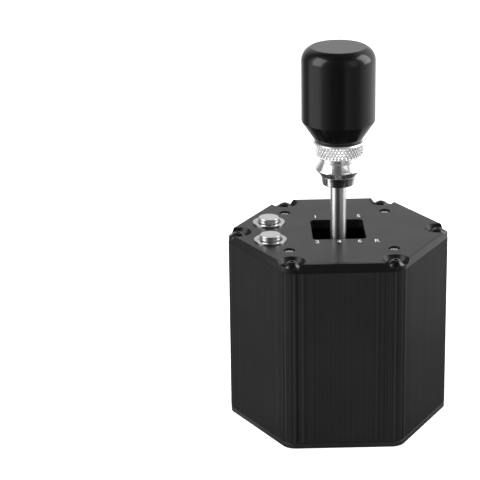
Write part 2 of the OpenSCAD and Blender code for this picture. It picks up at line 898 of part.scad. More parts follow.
// Turned collar: a chamfer up to its widest line, a cone up to a small lip, and a neck
module flared_collar() {
  wide_z = 3.7;
  lip_z = 8.3;
  lip = 0.3;
  color("gainsboro") translate([0, 0, flare_z]) rotate_extrude() polygon([
    [rod_r + seat_play, 0], [sleeve_d_high / 2, 0], [flare_d / 2, wide_z - lip],
    [flare_d / 2, wide_z + lip], [neck_d / 2 + lip, lip_z - lip], [neck_d / 2 + lip, lip_z],
    [neck_d / 2, lip_z + lip], [neck_d / 2, flare_h], [rod_r + seat_play, flare_h]
  ]);
}

module lock_ring() {
  edge = 0.6;
  color("silver") translate([0, 0, lock_z]) rotate_extrude() polygon([
    [thread_r + seat_play, 0], [lock_ring_d / 2 - edge, 0], [lock_ring_d / 2, edge],
    [lock_ring_d / 2, lock_ring_h - edge], [lock_ring_d / 2 - edge, lock_ring_h],
    [thread_r + seat_play, lock_ring_h]
  ]);
}

module knob_insert() {
  color("goldenrod") tube(insert_r, thread_r + seat_play, knob_z, knob_z + insert_h);
}

module knob() {
  shoulder_r = 2;
  cone_angle = atan((knob_r - knob_rim_d / 2) / knob_cone_h);
  shoulder_z = knob_cone_h + shoulder_r * tan(cone_angle / 2);
  height = knob_top - knob_z;
  hole_r = insert_r + seat_play;
  color([0.06, 0.06, 0.06]) translate([0, 0, knob_z]) rotate_extrude() polygon(concat(
    [[0, insert_h + face_gap], [hole_r, insert_h + face_gap], [hole_r, 0], [knob_rim_d / 2 - 0.4, 0],
     [knob_rim_d / 2, 0.4]],
    arc(knob_r - shoulder_r, shoulder_z, shoulder_r, -cone_angle, 0, 3),
    arc(knob_r - knob_edge_r, height - knob_edge_r * sin(knob_edge_angle), knob_edge_r, 0,
        knob_edge_angle, 8),
    [[0, height]]
  ));
}

// Fixed body of a push button with its bezel; its bore is stepped for the cap, which
// stands in a round recess
module button_body() {
  edge = 0.3;
  difference() {
    union() {
      post(button_d / 2, button_low, case_h + over / 2);
      translate([0, 0, case_h]) {
        cylinder(r = bezel_d / 2, h = bezel_h - edge);
        translate([0, 0, bezel_h - edge])
          cylinder(r1 = bezel_d / 2, r2 = bezel_d / 2 - edge, h = edge);
      }
    }
    post(button_cap_d / 2 + run_play, button_low - over, case_h + bezel_h + over);
    post(button_recess_r, case_h + bezel_h - button_recess_h, case_h + bezel_h + over);
    post(cap_flange_r + run_play, button_low - over, button_shoulder);
  }
}

module button_cap() {
  edge = 0.4;
  top = case_h + bezel_h + button_cap_rise;
  post(cap_flange_r, cap_low, cap_low + cap_flange_h);
  post(button_cap_d / 2, cap_low, top - edge);
  translate([0, 0, top - edge])
    cylinder(r1 = button_cap_d / 2, r2 = button_cap_d / 2 - edge, h = edge);
}

module button_spring(name) {
  coil(name, cap_flange_r - 1.5, button_wire, switch_top, cap_low, button_turns);
}

module button_nut() {
  difference() {
    translate([0, 0, top_under - nut_h])
      cylinder(r = nut_flats / 2 / cos(30), h = nut_h, $fn = 6);
    post(button_d / 2 + seat_play, top_under - nut_h - over, top_under + over);
  }
}

// Switch block that closes the lower end of a button body, with three terminals
module button_switch() {
  switch_low = button_low - switch_drop;
  post(cap_flange_r, button_low - switch_skirt, switch_top);
  post(switch_r, switch_low, button_low - switch_skirt);
  for (i = [-1:1]) translate([i * terminal_pitch, 0, 0])
    box(-terminal_w / 2, terminal_w / 2, -terminal_t / 2, terminal_t / 2,
        switch_low - terminal_drop, switch_low + over);
}

module at_front_button() {
  translate([-button_x, -button_y, 0]) children();
}

module at_rear_button() {
  translate([-button_x, button_y, 0]) children();
}

module front_button_body() {
  color("silver") at_front_button() button_body();
}

module front_button_cap() {
  color("lightgray") at_front_button() button_cap();
}

module front_button_spring() {
  color("lightslategray") at_front_button() button_spring("front button spring");
}

module front_button_nut() {
  color("silver") at_front_button() button_nut();
}

module front_button_switch() {
  color("black") at_front_button() button_switch();
}

module rear_button_body() {
  color("silver") at_rear_button() button_body();
}

module rear_button_cap() {
  color("lightgray") at_rear_button() button_cap();
}

module rear_button_spring() {
  color("lightslategray") at_rear_button() button_spring("rear button spring");
}

module rear_button_nut() {
  color("silver") at_rear_button() button_nut();
}

module rear_button_switch() {
  color("black") at_rear_button() button_switch();
}

module main_board() {
  top = pcb_z + board_t;
  color("seagreen") difference() {
    union() {
      box(-pcb_half_x, pcb_half_x, pcb_front_y, pcb_back_y, pcb_z, top);
      box(-main_chip_w / 2, main_chip_w / 2, main_chip_y, main_chip_y + main_chip_w, top - sink_in,
          top + main_chip_h);
      for (x = main_plug_xs)
        box(x, x + main_plug_w, main_plug_y, main_plug_y + main_plug_l, top - sink_in,
            top + main_plug_h);
    }
    at_pcb_holes() post(pcb_screw_r + seat_play, pcb_z - over, top + over);
  }
}

module board_standoffs() {
  color("gold") at_pcb_holes() tube(pcb_post_r, pcb_screw_r + seat_play, base_t, pcb_z);
}

module board_screws() {
  color("dimgray") at_pcb_holes() translate([0, 0, pcb_z + board_t])
    socket_screw(pcb_screw_r, board_t + pcb_screw_grip, pcb_head_r, pcb_head_h, 0.3);
}

// Receptacle shell with its tongue, open to the rear
module usb_socket() {
  in_w = socket_w / 2 - socket_shell;
  in_h = socket_h / 2 - socket_shell;
  color("silver") translate([0, inner_half, socket_z]) {
    difference() {
      rotate([90, 0, 0]) linear_extrude(socket_l)
        polygon(rounded_box(-socket_w / 2, socket_w / 2, -socket_h / 2, socket_h / 2, 1));
      translate([0, over, 0]) rotate([90, 0, 0]) linear_extrude(socket_l - socket_shell)
        polygon(rounded_box(-in_w, in_w, -in_h, in_h, 1 - socket_shell));
    }
    translate([-tongue_w / 2, -socket_l + 0.5, -tongue_h / 2])
      cube([tongue_w, socket_l - 0.5 - tongue_in, tongue_h]);
  }
}

base_plate();
housing();
top_plate();
top_screws();
base_screws();
base_nuts();
station_screws();
upper_standoffs();
pivot_frame();
lower_standoffs();
gate_plate();
gate_screws();
select_bearings();
yoke();
select_pins();
select_magnet();
select_sensor_board();
select_board_screws();
shift_bearings();
lever_hub();
shift_pins();
thrust_washers();
shift_magnet();
shift_sensor_board();
shift_board_screws();
detent_cam();
detent_leaf();
leaf_screw();
left_centring_spring();
right_centring_spring();
spring_posts();
lever_rod();
press_spring();
spring_retainer();
stop_nut();
press_sensor();
follower_sleeve();
follower_screw();
lower_sleeve();
flared_collar();
lock_ring();
knob_insert();
knob();
front_button_body();
front_button_cap();
front_button_spring();
front_button_nut();
front_button_switch();
rear_button_body();
rear_button_cap();
rear_button_spring();
rear_button_nut();
rear_button_switch();
main_board();
board_standoffs();
board_screws();
usb_socket();
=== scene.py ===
"""Looks of a gear shifter for driving simulators: visible pieces, finishes and a small studio."""

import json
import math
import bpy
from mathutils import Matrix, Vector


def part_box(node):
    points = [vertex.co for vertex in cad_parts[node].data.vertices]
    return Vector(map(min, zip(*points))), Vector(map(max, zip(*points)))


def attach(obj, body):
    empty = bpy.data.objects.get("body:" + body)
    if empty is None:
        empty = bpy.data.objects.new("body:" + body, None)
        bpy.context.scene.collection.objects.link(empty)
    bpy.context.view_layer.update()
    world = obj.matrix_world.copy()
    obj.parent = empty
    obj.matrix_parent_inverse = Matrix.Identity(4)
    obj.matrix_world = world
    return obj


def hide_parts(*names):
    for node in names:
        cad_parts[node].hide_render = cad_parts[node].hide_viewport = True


bl_info = {
    "name": "Gear shifter",
    "version": (1, 0, 0),
    "blender": (4, 5, 0),
    "location": "View3D > Sidebar > Shifter",
    "description": "Builds the visible pieces of a gear shifter, their finishes and a small studio",
    "category": "Object",
}

import bpy
from bpy.props import FloatProperty, FloatVectorProperty, IntProperty, PointerProperty
from mathutils import Matrix, Vector

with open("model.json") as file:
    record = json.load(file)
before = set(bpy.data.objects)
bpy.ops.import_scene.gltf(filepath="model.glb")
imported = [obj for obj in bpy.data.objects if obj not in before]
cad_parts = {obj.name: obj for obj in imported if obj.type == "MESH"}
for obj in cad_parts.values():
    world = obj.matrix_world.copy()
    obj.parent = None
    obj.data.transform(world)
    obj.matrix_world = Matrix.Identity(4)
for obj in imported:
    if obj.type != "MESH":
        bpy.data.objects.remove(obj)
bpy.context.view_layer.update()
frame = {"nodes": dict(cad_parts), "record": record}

MM = 0.001
COS30 = math.cos(math.radians(30))
TAN30 = math.tan(math.radians(30))
SIXTHS = [math.radians(60 * i) for i in range(6)]
CLEAR = 0.03 * MM  # room between pieces that fit into each other
OVER = 1 * MM  # how far a cutter runs past the face that it cuts

# Sizes of hidden parts, as in the source
BOSS_R = 5.5 * MM
SMALL_THREAD_R = 1.5 * MM
SMALL_HEAD_R = 0.92 * 2 * SMALL_THREAD_R
BUTTON_THREAD_R = 8 * MM
ROD_STEP = 0.4 * MM

# Brightness of the studio in reflections: degrees from the camera's side, right is positive
STUDIO_LEVELS = [
    (-180, 0.9), (-150, 0.7), (-132, 0.22), (-112, 0.14), (-98, 1.3), (-66, 1.6), (-50, 0.5),
    (-36, 0.3), (-24, 0.08), (0, 0.05), (13, 0.06), (20, 0.4), (30, 0.4), (42, 0.25), (62, 0.3),
    (76, 0.8), (100, 1.2), (125, 1.3), (150, 0.9), (180, 0.9),
]

# Soft boxes: degrees from the camera's side and upwards, distance, width, height, brightness,
# and whether the object mirrors them
SOFT_BOXES = {
    "left_box": (-72, 28, 0.9, 0.55, 0.8, 4, True),
    "right_box": (45, 26, 0.9, 0.35, 0.6, 0.7, True),
    "right_side_box": (97, 28, 0.9, 0.5, 0.8, 5, True),
    "top_box": (180, 65, 1.1, 0.9, 0.6, 0.8, False),
}

# Places of the case, read from the frame
base_low, base_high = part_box("base_plate")
housing_low, housing_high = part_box("housing")
plate_low, plate_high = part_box("top_plate")
screws_low, screws_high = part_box("top_screws")
stations_low, stations_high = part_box("station_screws")
socket_low, socket_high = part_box("usb_socket")
half_flats = housing_high.y
sharp_corner = half_flats / COS30
corner_r = (sharp_corner - housing_high.x) / (1 / COS30 - 1)

# Places of the lever, read from the frame
rod_low, rod_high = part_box("lever_rod")
follower_low, follower_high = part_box("follower_sleeve")
sleeve_low, sleeve_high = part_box("lower_sleeve")
flare_low, flare_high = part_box("flared_collar")
ring_low, ring_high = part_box("lock_ring")
insert_low, insert_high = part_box("knob_insert")
knob_low, knob_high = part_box("knob")


def size(label, text, value):
    """A length that a user may change, given in millimetres and kept in metres."""
    return FloatProperty(
        name=label, description=text, default=value * MM, min=0, unit="LENGTH", precision=5
    )


def colour(label, text, value):
    """A colour that a user may change."""
    return FloatVectorProperty(
        name=label, description=text, default=value, min=0, max=1, size=3, subtype="COLOR"
    )


class ShifterCaseSizes(bpy.types.PropertyGroup):
    """Sizes of the case's visible detail"""

    flute_pitch: size("Flute pitch", "Distance between the housing's upright lines", 1.2)
    flute_depth: size("Flute depth", "Depth of the lines in the middle of a face", 0.02)
    corner_flute_depth: size("Corner flutes", "Extra depth of lines beside a corner", 0.13)
    corner_flute_reach: size("Corner flute reach", "How far the deeper lines reach", 4)
    housing_edge: size("Housing edge", "Chamfer of the housing's ends", 0.35)
    plate_edge: size("Plate edge", "Rounding of the top plate's outer edge", 0.4)
    cut_edge: size("Cut edge", "Chamfer round the cuts in the top plate", 0.2)
    notch_r: size("Notch radius", "Radius of the corner notches at the top face", 7.5)
    notch_floor_r: size("Notch floor", "Radius of the corner notches at their floor", 5.9)
    screw_head_d: size("Screw head", "Diameter of the corner screws' heads", 10)
    screw_head_h: size("Screw head height", "Height of the corner screws' heads", 2.5)
    screw_d: size("Screw thread", "Diameter of the corner screws", 5)
    hexagon_r: size("Hexagon socket", "Radius of the corner screws' sockets", 1.3)
    opening_w: size("Opening width", "Width of the lever opening", 29.5)
    opening_l: size("Opening depth", "Depth of the lever opening, front to back", 32.2)
    opening_back: size("Opening offset", "How far its middle lies behind the lever", 1.3)
    opening_r: size("Opening corner", "Radius of the lever opening's corners", 2.5)
    counterbore_d: size("Counterbore", "Diameter of the small screws' counterbores", 6.2)
    counterbore_depth: size("Counterbore depth", "Depth of those counterbores", 3.4)
    wall: size("Wall", "Wall of the housing", 3.5)


class ShifterLeverSizes(bpy.types.PropertyGroup):
    """Sizes of the lever's and the buttons' visible detail"""

    knurl_count: IntProperty(
        name="Diamonds", description="Diamonds round the lock ring", default=47, min=6
    )
    knurl_pitch: size("Diamond pitch", "Height of two rows of diamonds", 3.15)
    knurl_depth: size("Knurl depth", "Depth of the grooves between the diamonds", 0.65)
    ring_edge: size("Ring edge", "Chamfer of the lock ring", 0.6)
    knob_rim_d: size("Knob rim", "Diameter of the knob's lower rim", 25.7)
    knob_cone_h: size("Knob cone", "Height of the knob's lower cone", 11.5)
    knob_shoulder_r: size("Knob shoulder", "Radius between the cone and the barrel", 2)
    knob_edge_r: size("Knob edge", "Radius of the knob's upper edge", 8)
    knob_rim_edge: size("Rim edge", "Chamfer of the knob's lower rim", 0.6)
    bezel_h: size("Bezel", "Height of the button bezels above the plate", 0.75)
    cap_edge: size("Cap edge", "Rounding of the button caps", 0.35)


class ShifterColours(bpy.types.PropertyGroup):
    """Colours of the finishes"""

    housing: colour("Housing", "Black anodised extrusion", (0.020, 0.020, 0.021))
    plate: colour("Plate", "Satin black top plate", (0.008, 0.008, 0.008))
    base: colour("Base", "Black base plate", (0.020, 0.020, 0.021))
    screw: colour("Screws", "Black oxide", (0.004, 0.004, 0.004))
    button: colour("Buttons", "Stainless steel", (0.62, 0.62, 0.62))
    lever: colour("Lever", "Polished steel", (0.66, 0.66, 0.67))
    ring: colour("Ring", "Bright knurled steel", (0.98, 0.98, 0.98))
    knob: colour("Knob", "Black anodised aluminium", (0.005, 0.005, 0.005))
    label: colour("Labels", "White print", (0.80, 0.80, 0.80))


def deselect_all():
    """Leaves edit mode and deselects every object."""
    if bpy.context.mode != "OBJECT":
        bpy.ops.object.mode_set(mode="OBJECT")
    bpy.ops.object.select_all(action="DESELECT")


def only(piece):
    """Makes one piece the selected and active object."""
    deselect_all()
    piece.select_set(True)
    bpy.context.view_layer.objects.active = piece


def named(name):
    """Names the object just added and puts its place into its mesh."""
    piece = bpy.context.object
    piece.name = piece.data.name = name
    bpy.ops.object.transform_apply(location=True, rotation=True, scale=True)
    return piece


def finished(piece, angle=35):
    """Leaves edit mode and shades all but the sharp edges smooth."""
    only(piece)
    bpy.ops.object.shade_smooth_by_angle(angle=math.radians(angle))
    return piece


def arc(centre, radius, start, end, steps):
    """Points of an arc between two angles in degrees, as (radius, height)."""
    angles = [math.radians(start + (end - start) * i / steps) for i in range(steps + 1)]
    return [(centre[0] + radius * math.cos(a), centre[1] + radius * math.sin(a)) for a in angles]


def beside(point, steps):
    """Points of a profile beside another point, with steps out and up in millimetres."""
    return [(point[0] + out * MM, point[1] + up * MM) for out, up in steps]


def turned(name, profile, centre=(0, 0), steps=96):
    """A lathe piece: one vertex drawn along (radius, height) points, spun round an upright axis."""
    x, y = centre
    points = [Vector((x + radius, y, height)) for radius, height in profile]
    deselect_all()
    bpy.ops.mesh.primitive_plane_add(size=MM, location=points[0])
    piece = named(name)
    bpy.ops.object.mode_set(mode="EDIT")
    bpy.ops.mesh.select_mode(type="VERT")
    bpy.ops.mesh.select_all(action="SELECT")
    bpy.ops.mesh.merge(type="CENTER")
    for before, after in zip(points, points[1:]):
        bpy.ops.mesh.extrude_vertices_move(TRANSFORM_OT_translate={"value": after - before})
    bpy.ops.mesh.select_all(action="SELECT")
    bpy.ops.mesh.spin(steps=steps, angle=math.tau, center=(x, y, 0), axis=(0, 0, 1))
    bpy.ops.mesh.select_all(action="SELECT")
    bpy.ops.mesh.remove_doubles(threshold=MM / 1000)
    bpy.ops.mesh.normals_make_consistent(inside=False)
    return finished(piece)


def pick(piece, kind, wanted):
    """Selects the edges or faces that pass a test, and leaves the piece in edit mode."""
    only(piece)
    bpy.ops.object.mode_set(mode="EDIT")
    bpy.ops.mesh.select_mode(type=kind)
    bpy.ops.mesh.select_all(action="DESELECT")
    bpy.ops.object.mode_set(mode="OBJECT")
    for part in piece.data.edges if kind == "EDGE" else piece.data.polygons:
        part.select = wanted(part)
    bpy.ops.object.mode_set(mode="EDIT")


def round_edges(piece, wanted, width, segments):
    """Bevels the edges whose ends pass a test."""
    pick(piece, "EDGE", lambda edge: wanted(*[piece.data.vertices[i].co for i in edge.vertices]))
    bpy.ops.mesh.bevel(offset=width, offset_type="OFFSET", segments=segments, affect="EDGES")
    bpy.ops.object.mode_set(mode="OBJECT")


def is_upright(a, b):
    """Whether an edge stands upright."""
    return abs(a.x - b.x) + abs(a.y - b.y) < CLEAR and abs(a.z - b.z) > CLEAR


def lies_at(height):
    """A test for edges that lie at one height."""
    return lambda a, b: abs(a.z - height) < CLEAR and abs(b.z - height) < CLEAR


def hexagonal_prism(name, radius, low, high, turn):
    """A hexagonal prism between two heights, turned by degrees."""
    deselect_all()
    bpy.ops.mesh.primitive_cylinder_add(
        vertices=6, radius=radius, depth=high - low,
        location=(0, 0, (low + high) / 2), rotation=(0, 0, math.radians(turn)),
    )
    return named(name)


def hexagon_slab(name, low, high, lower_edge, upper_edge):
    """A hexagonal plate with rounded corners, between two heights."""
    piece = hexagonal_prism(name, sharp_corner, low, high, turn=30)
    round_edges(piece, is_upright, corner_r * TAN30, 20)
    round_edges(piece, lies_at(low), lower_edge, 1)
    round_edges(piece, lies_at(high), upper_edge, 5)
    return piece


def rounded_block(name, width, length, radius, low, high):
    """An upright block with rounded corners, between two heights."""
    deselect_all()
    bpy.ops.mesh.primitive_cube_add(
        size=1, location=(0, 0, (low + high) / 2), scale=(width, length, high - low)
    )
    piece = named(name)
    round_edges(piece, is_upright, radius, 8)
    return piece


def copy_at(piece, name, spot, turn=0):
    """A copy of a piece with its own mesh, turned and moved."""
    only(piece)
    bpy.ops.object.duplicate(linked=False)
    twin = bpy.context.object
    twin.name = twin.data.name = name
    twin.data.transform(Matrix.Translation(spot) @ Matrix.Rotation(turn, 4, "Z"))
    return twin


def joined(pieces):
    """Several pieces made into one object."""
    only(pieces[0])
    for piece in pieces:
        piece.select_set(True)
    bpy.ops.object.join()
    return bpy.context.object


def cut(piece, cutter):
    """Takes the cutter's shape out of a piece and removes the cutter."""
    only(piece)
    tool = piece.modifiers.new("cut", "BOOLEAN")
    tool.operation = "DIFFERENCE"
    tool.solver = "MANIFOLD"
    tool.object = cutter
    bpy.ops.object.modifier_apply(modifier=tool.name)
    bpy.data.objects.remove(cutter)


def cut_at(piece, cutter, spots):
    """Takes the cutter's shape out of a piece at several places, and removes the cutter."""
    copies = [copy_at(cutter, f"cutter_{i}", spot) for i, spot in enumerate(spots)]
    bpy.data.objects.remove(cutter)
    cut(piece, joined(copies))


def hole_cutter(radius, low, high, steps):
    """A cutter for a round hole that runs past both faces of a plate."""
    low, high = low - OVER, high + OVER
    return turned("cutter", [(0, low), (radius, low), (radius, high), (0, high)], steps=steps)


def seat(piece, body, slot, material, *nodes):
    """Gives a piece its finish, its body and the nodes that it stands for."""
    piece.data.materials.clear()
    piece.data.materials.append(material)
    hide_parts(*nodes)
    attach(piece, body)


def sizes():
    """The case's sizes and the lever's sizes."""
    return bpy.context.scene.shifter_case, bpy.context.scene.shifter_lever


def middle(node):
    """The middle of a node's box, seen from above."""
    low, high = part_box(node)
    return (low.x + high.x) / 2, (low.y + high.y) / 2


def corner_circle():
    """Radius of the circle on which the corner screws stand."""
    return screws_high.x - sizes()[0].screw_head_d / 2


def corner_spots():
    """Places of the corner screws, six round the axis."""
    circle = corner_circle()
    return [(circle * math.cos(turn), circle * math.sin(turn), 0) for turn in SIXTHS]


def station_spots():
    """Places of the four small screws."""
    x, y = stations_high.x - SMALL_HEAD_R, stations_high.y - SMALL_HEAD_R
    return [(i * x, j * y, 0) for i in (-1, 1) for j in (-1, 1)]


def round_reach(centre, turn, radius, side=1):
    """Distance of a circle's far (1) or near (-1) side, seen from the axis beside its centre."""
    return centre * math.cos(turn) + side * math.sqrt(radius**2 - (centre * math.sin(turn)) ** 2)


def outline(angle):
    """Distance of the rounded hexagon from the axis, its slope and the place on its face."""
    slope = math.radians((math.degrees(angle) % 60) - 30)
    along = half_flats * math.tan(slope)
    straight = (half_flats - corner_r) * TAN30
    if abs(along) <= straight:
        return half_flats / math.cos(slope), slope, straight - abs(along)
    centre = (half_flats - corner_r) / COS30
    return round_reach(centre, math.radians(30) - abs(slope), corner_r), slope, 0


def inner_outline(angle, wall, circle):
    """Distance of the housing's inner face from the axis, with its screw bosses."""
    slope = math.radians((math.degrees(angle) % 60) - 30)
    turn = math.radians(30) - abs(slope)
    inner_r = corner_r - wall
    centre = (half_flats - corner_r) / COS30
    if circle * math.sin(turn) < BOSS_R:
        return round_reach(circle, turn, BOSS_R, -1)
    if centre * math.sin(turn) < inner_r * 0.5:  # about where the inner corner's round ends
        return round_reach(centre, turn, inner_r)
    return (half_flats - wall) / math.cos(slope)


def flute(place):
    """Depth of the upright lines at a distance from the end of a face's straight stretch."""
    case = sizes()[0]
    wave = 0.5 - 0.5 * math.cos(math.tau * place / case.flute_pitch)
    fade = math.exp(-place / case.corner_flute_reach)
    return wave * (case.flute_depth + case.corner_flute_depth * fade)


def press_to_hexagon(piece, wall):
    """Moves the vertices of a round tube onto the housing's outer and inner outlines."""
    circle = corner_circle()
    for vertex in piece.data.vertices:
        x, y, z = vertex.co
        angle = math.atan2(y, x)
        inset = sharp_corner - math.hypot(x, y)
        if inset > wall / 2:
            reach = inner_outline(angle, wall, circle)
        else:
            reach, slope, place = outline(angle)
            reach -= (inset + flute(place)) / math.cos(slope)
        vertex.co = (reach * math.cos(angle), reach * math.sin(angle), z)


def make_housing(material):
    """The extruded tube with its upright lines, screw channels and cable inlet."""
    case = sizes()[0]
    low, high, edge = housing_low.z, housing_high.z, case.housing_edge
    outer, inner = sharp_corner, sharp_corner - case.wall
    piece = turned("housing_extrusion", [
        (outer - edge, low), (outer, low + edge), (outer, high - edge), (outer - edge, high),
        (inner, high), (inner, low), (outer - edge, low),
    ], steps=2160)
    press_to_hexagon(piece, case.wall)
    cut_at(piece, hole_cutter(case.screw_d / 2 + CLEAR, low, high, 32), corner_spots())
    inlet_w, inlet_h, inlet_r, reach = 13 * MM, 7 * MM, 2 * MM, 4 * MM
    inlet = rounded_block("cutter", inlet_w, inlet_h, inlet_r, -reach, reach)
    spot = (0, half_flats - case.wall / 2, (socket_low.z + socket_high.z) / 2)
    inlet.data.transform(Matrix.Rotation(math.radians(90), 4, "X"))
    inlet.data.transform(Matrix.Translation(spot))
    cut(piece, inlet)
    finished(piece, 50)
    seat(piece, "case", "housing_anodised", material, "housing")


def notch_cutter(low, low_r, high, high_r):
    """The cutter of the corner notches: six cones that run out through the case's corners."""
    runout = 6 * MM
    cone = turned("cutter", [(0, low), (low_r, low), (high_r, high), (0, high)], steps=72)
    pair = joined([cone, copy_at(cone, "cutter_out", (runout, 0, 0))])
    bpy.ops.object.mode_set(mode="EDIT")
    bpy.ops.mesh.select_all(action="SELECT")
    bpy.ops.mesh.convex_hull()
    bpy.ops.object.mode_set(mode="OBJECT")
    pair.data.transform(Matrix.Translation((corner_circle(), 0, 0)))
    notches = [copy_at(pair, f"cutter_{i}", (0, 0, 0), turn) for i, turn in enumerate(SIXTHS)]
    bpy.data.objects.remove(pair)
    return joined(notches)


def opening_cutter(low, high, edge):
    """The cutter of the lever opening, which widens at the plate's top face."""
    case = sizes()[0]
    width, length = case.opening_w, case.opening_l
    cutter = rounded_block("cutter", width, length, case.opening_r, low - OVER, high - edge)
    pick(cutter, "FACE", lambda face: face.normal.z > 0.9)
    rise = edge + OVER
    bpy.ops.mesh.extrude_region_move(TRANSFORM_OT_translate={"value": (0, 0, rise)})
    wider = (1 + 2 * rise / width, 1 + 2 * rise / length, 1)
    bpy.ops.transform.resize(value=wider, center_override=(0, 0, high + OVER))
    bpy.ops.object.mode_set(mode="OBJECT")
    cutter.data.transform(Matrix.Translation((0, case.opening_back, 0)))
    return cutter


def make_top_plate(material):
    """The top plate with its notches, holes and lever opening."""
    case = sizes()[0]
    low, high, edge = plate_low.z, plate_high.z, case.cut_edge
    lower_edge = 0.15 * MM
    piece = hexagon_slab("gate_top_plate", low, high, lower_edge, case.plate_edge)
    cut_at(piece, hole_cutter(case.screw_d / 2 + CLEAR, low, high, 32), corner_spots())
    floor = screws_high.z - case.screw_head_h
    slope = (case.notch_r - case.notch_floor_r) / (high - floor)
    top_r = case.notch_r + slope * OVER
    edge_r = case.notch_r - slope * edge
    cut(piece, notch_cutter(floor, case.notch_floor_r, high + OVER, top_r))
    cut(piece, notch_cutter(high - 3 * edge, edge_r - 2 * edge, high + OVER, edge_r + edge + OVER))
    small_r, bore_r = SMALL_THREAD_R + CLEAR, case.counterbore_d / 2
    bore_floor = high - case.counterbore_depth
    bore = turned("cutter", [
        (0, low - OVER), (small_r, low - OVER), (small_r, bore_floor), (bore_r, bore_floor),
        (bore_r, high - edge), (bore_r + edge + OVER, high + OVER), (0, high + OVER),
    ], steps=48)
    cut_at(piece, bore, station_spots())
    x, y = middle("front_button_body")
    button_hole = hole_cutter(BUTTON_THREAD_R + CLEAR, low, high, 64)
    cut_at(piece, button_hole, [(x, side * y, 0) for side in (1, -1)])
    cut(piece, opening_cutter(low, high, edge))
    finished(piece, 30)
    seat(piece, "case", "plate_anodised", material, "top_plate")


def make_base_plate(material):
    """The base plate with its countersunk holes and rig holes."""
    low, high = base_low.z, base_high.z
    lower_edge, upper_edge = 0.4 * MM, 0.3 * MM
    hole_r, sink_r = sizes()[0].screw_d / 2 + CLEAR, 4.53 * MM
    rim_z, sink_z = low + 0.2 * MM, low + 2.2 * MM
    rig_hole_r, rig_x, rig_y = 3 * MM, 30 * MM, 20 * MM
    piece = hexagon_slab("base_cover", low, high, lower_edge, upper_edge)
    sink = turned("cutter", [
        (0, low - OVER), (sink_r, low - OVER), (sink_r, rim_z), (hole_r, sink_z),
        (hole_r, high + OVER), (0, high + OVER),
    ], steps=48)
    cut_at(piece, sink, corner_spots())
    rig_spots = [(x * rig_x, y * rig_y, 0) for x in (-1, 1) for y in (-1, 1)]
    cut_at(piece, hole_cutter(rig_hole_r, low, high, 48), rig_spots)
    finished(piece, 30)
    seat(piece, "case", "base_black", material, "base_plate")


def set_screws(screw, socket_r, socket_floor, top, spots, step, material, node):
    """Cuts a screw's hexagon socket and puts copies at several places, each turned a step more."""
    name = screw.name
    cut(screw, hexagonal_prism("cutter", socket_r, socket_floor, top + OVER, turn=20))
    finished(screw, 30)
    for i, spot in enumerate(spots):
        piece = copy_at(screw, f"{name}_{i + 1}", spot, math.radians(step * i))
        seat(piece, "case", "screw_black", material, node)
    bpy.data.objects.remove(screw)


def make_corner_screws(material):
    """Six button head screws with hexagon sockets."""
    case = sizes()[0]
    head_r, head_h, shank_r = case.screw_head_d / 2, case.screw_head_h, case.screw_d / 2
    low, floor = screws_low.z, screws_high.z - head_h
    socket_z, thread_edge = floor + 0.9 * MM, 0.4 * MM
    flank = [
        (1, 0.06), (0.985, 0.12), (0.62, 0.66), (0.54, 0.79), (0.45, 0.89), (0.37, 0.96), (0.30, 1),
    ]  # shares of the head's radius and height
    screw = turned("corner_screw", [
        (0, low), (shank_r - thread_edge, low), (shank_r, low + thread_edge), (shank_r, floor),
        (head_r, floor), *[(head_r * out, floor + head_h * up) for out, up in flank],
        (0, floor + head_h),
    ], steps=64)
    set_screws(screw, case.hexagon_r, socket_z, floor + head_h, corner_spots(), 17,
               material, "top_screws")


def make_station_screws(material):
    """Four small socket head screws in the counterbores of the top plate."""
    head_r, shank_r = SMALL_HEAD_R, SMALL_THREAD_R
    low, top = stations_low.z, stations_high.z
    floor = plate_high.z - sizes()[0].counterbore_depth
    thread_edge, head_edge = 0.3 * MM, 0.25 * MM
    socket_r, socket_z = 1.45 * MM, top - 1.3 * MM
    screw = turned("station_screw", [
        (0, low), (shank_r - thread_edge, low), (shank_r, low + thread_edge), (shank_r, floor),
        (head_r, floor), (head_r, top - head_edge), (head_r - head_edge, top), (0, top),
    ], steps=48)
    set_screws(screw, socket_r, socket_z, top, station_spots(), 11, material, "station_screws")


def make_labels(material):
    """Gear numbers beside the lever opening, in plain figures."""
    height, capital_share = 4.4 * MM, 0.7
    thickness, bolder, lift = 0.01 * MM, 0.03 * MM, 0.012 * MM
    narrow = Matrix.Diagonal((0.78, 1, 1, 1))
    rows = [
        (22.9 * MM, [("1", -11.5), ("3", 0), ("5", 13)]),
        (-18.7 * MM, [("2", -12.5), ("4", -0.5), ("6", 10.7), ("R", 20.1)]),
    ]
    for y, figures in rows:
        for figure, x in figures:
            deselect_all()
            bpy.ops.object.text_add(location=(0, 0, 0))
            text = bpy.context.object.data
            text.body = figure
            text.align_x, text.align_y = "CENTER", "CENTER"
            text.size = height / capital_share
            text.extrude, text.offset = thickness, bolder
            bpy.ops.object.convert(target="MESH")
            piece = named(f"gear_label_{figure}")
            spot = (x * MM, y, plate_high.z + lift)
            piece.data.transform(Matrix.Translation(spot) @ narrow)
            piece.data.materials.clear()
            piece.data.materials.append(material)
            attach(piece, "case")


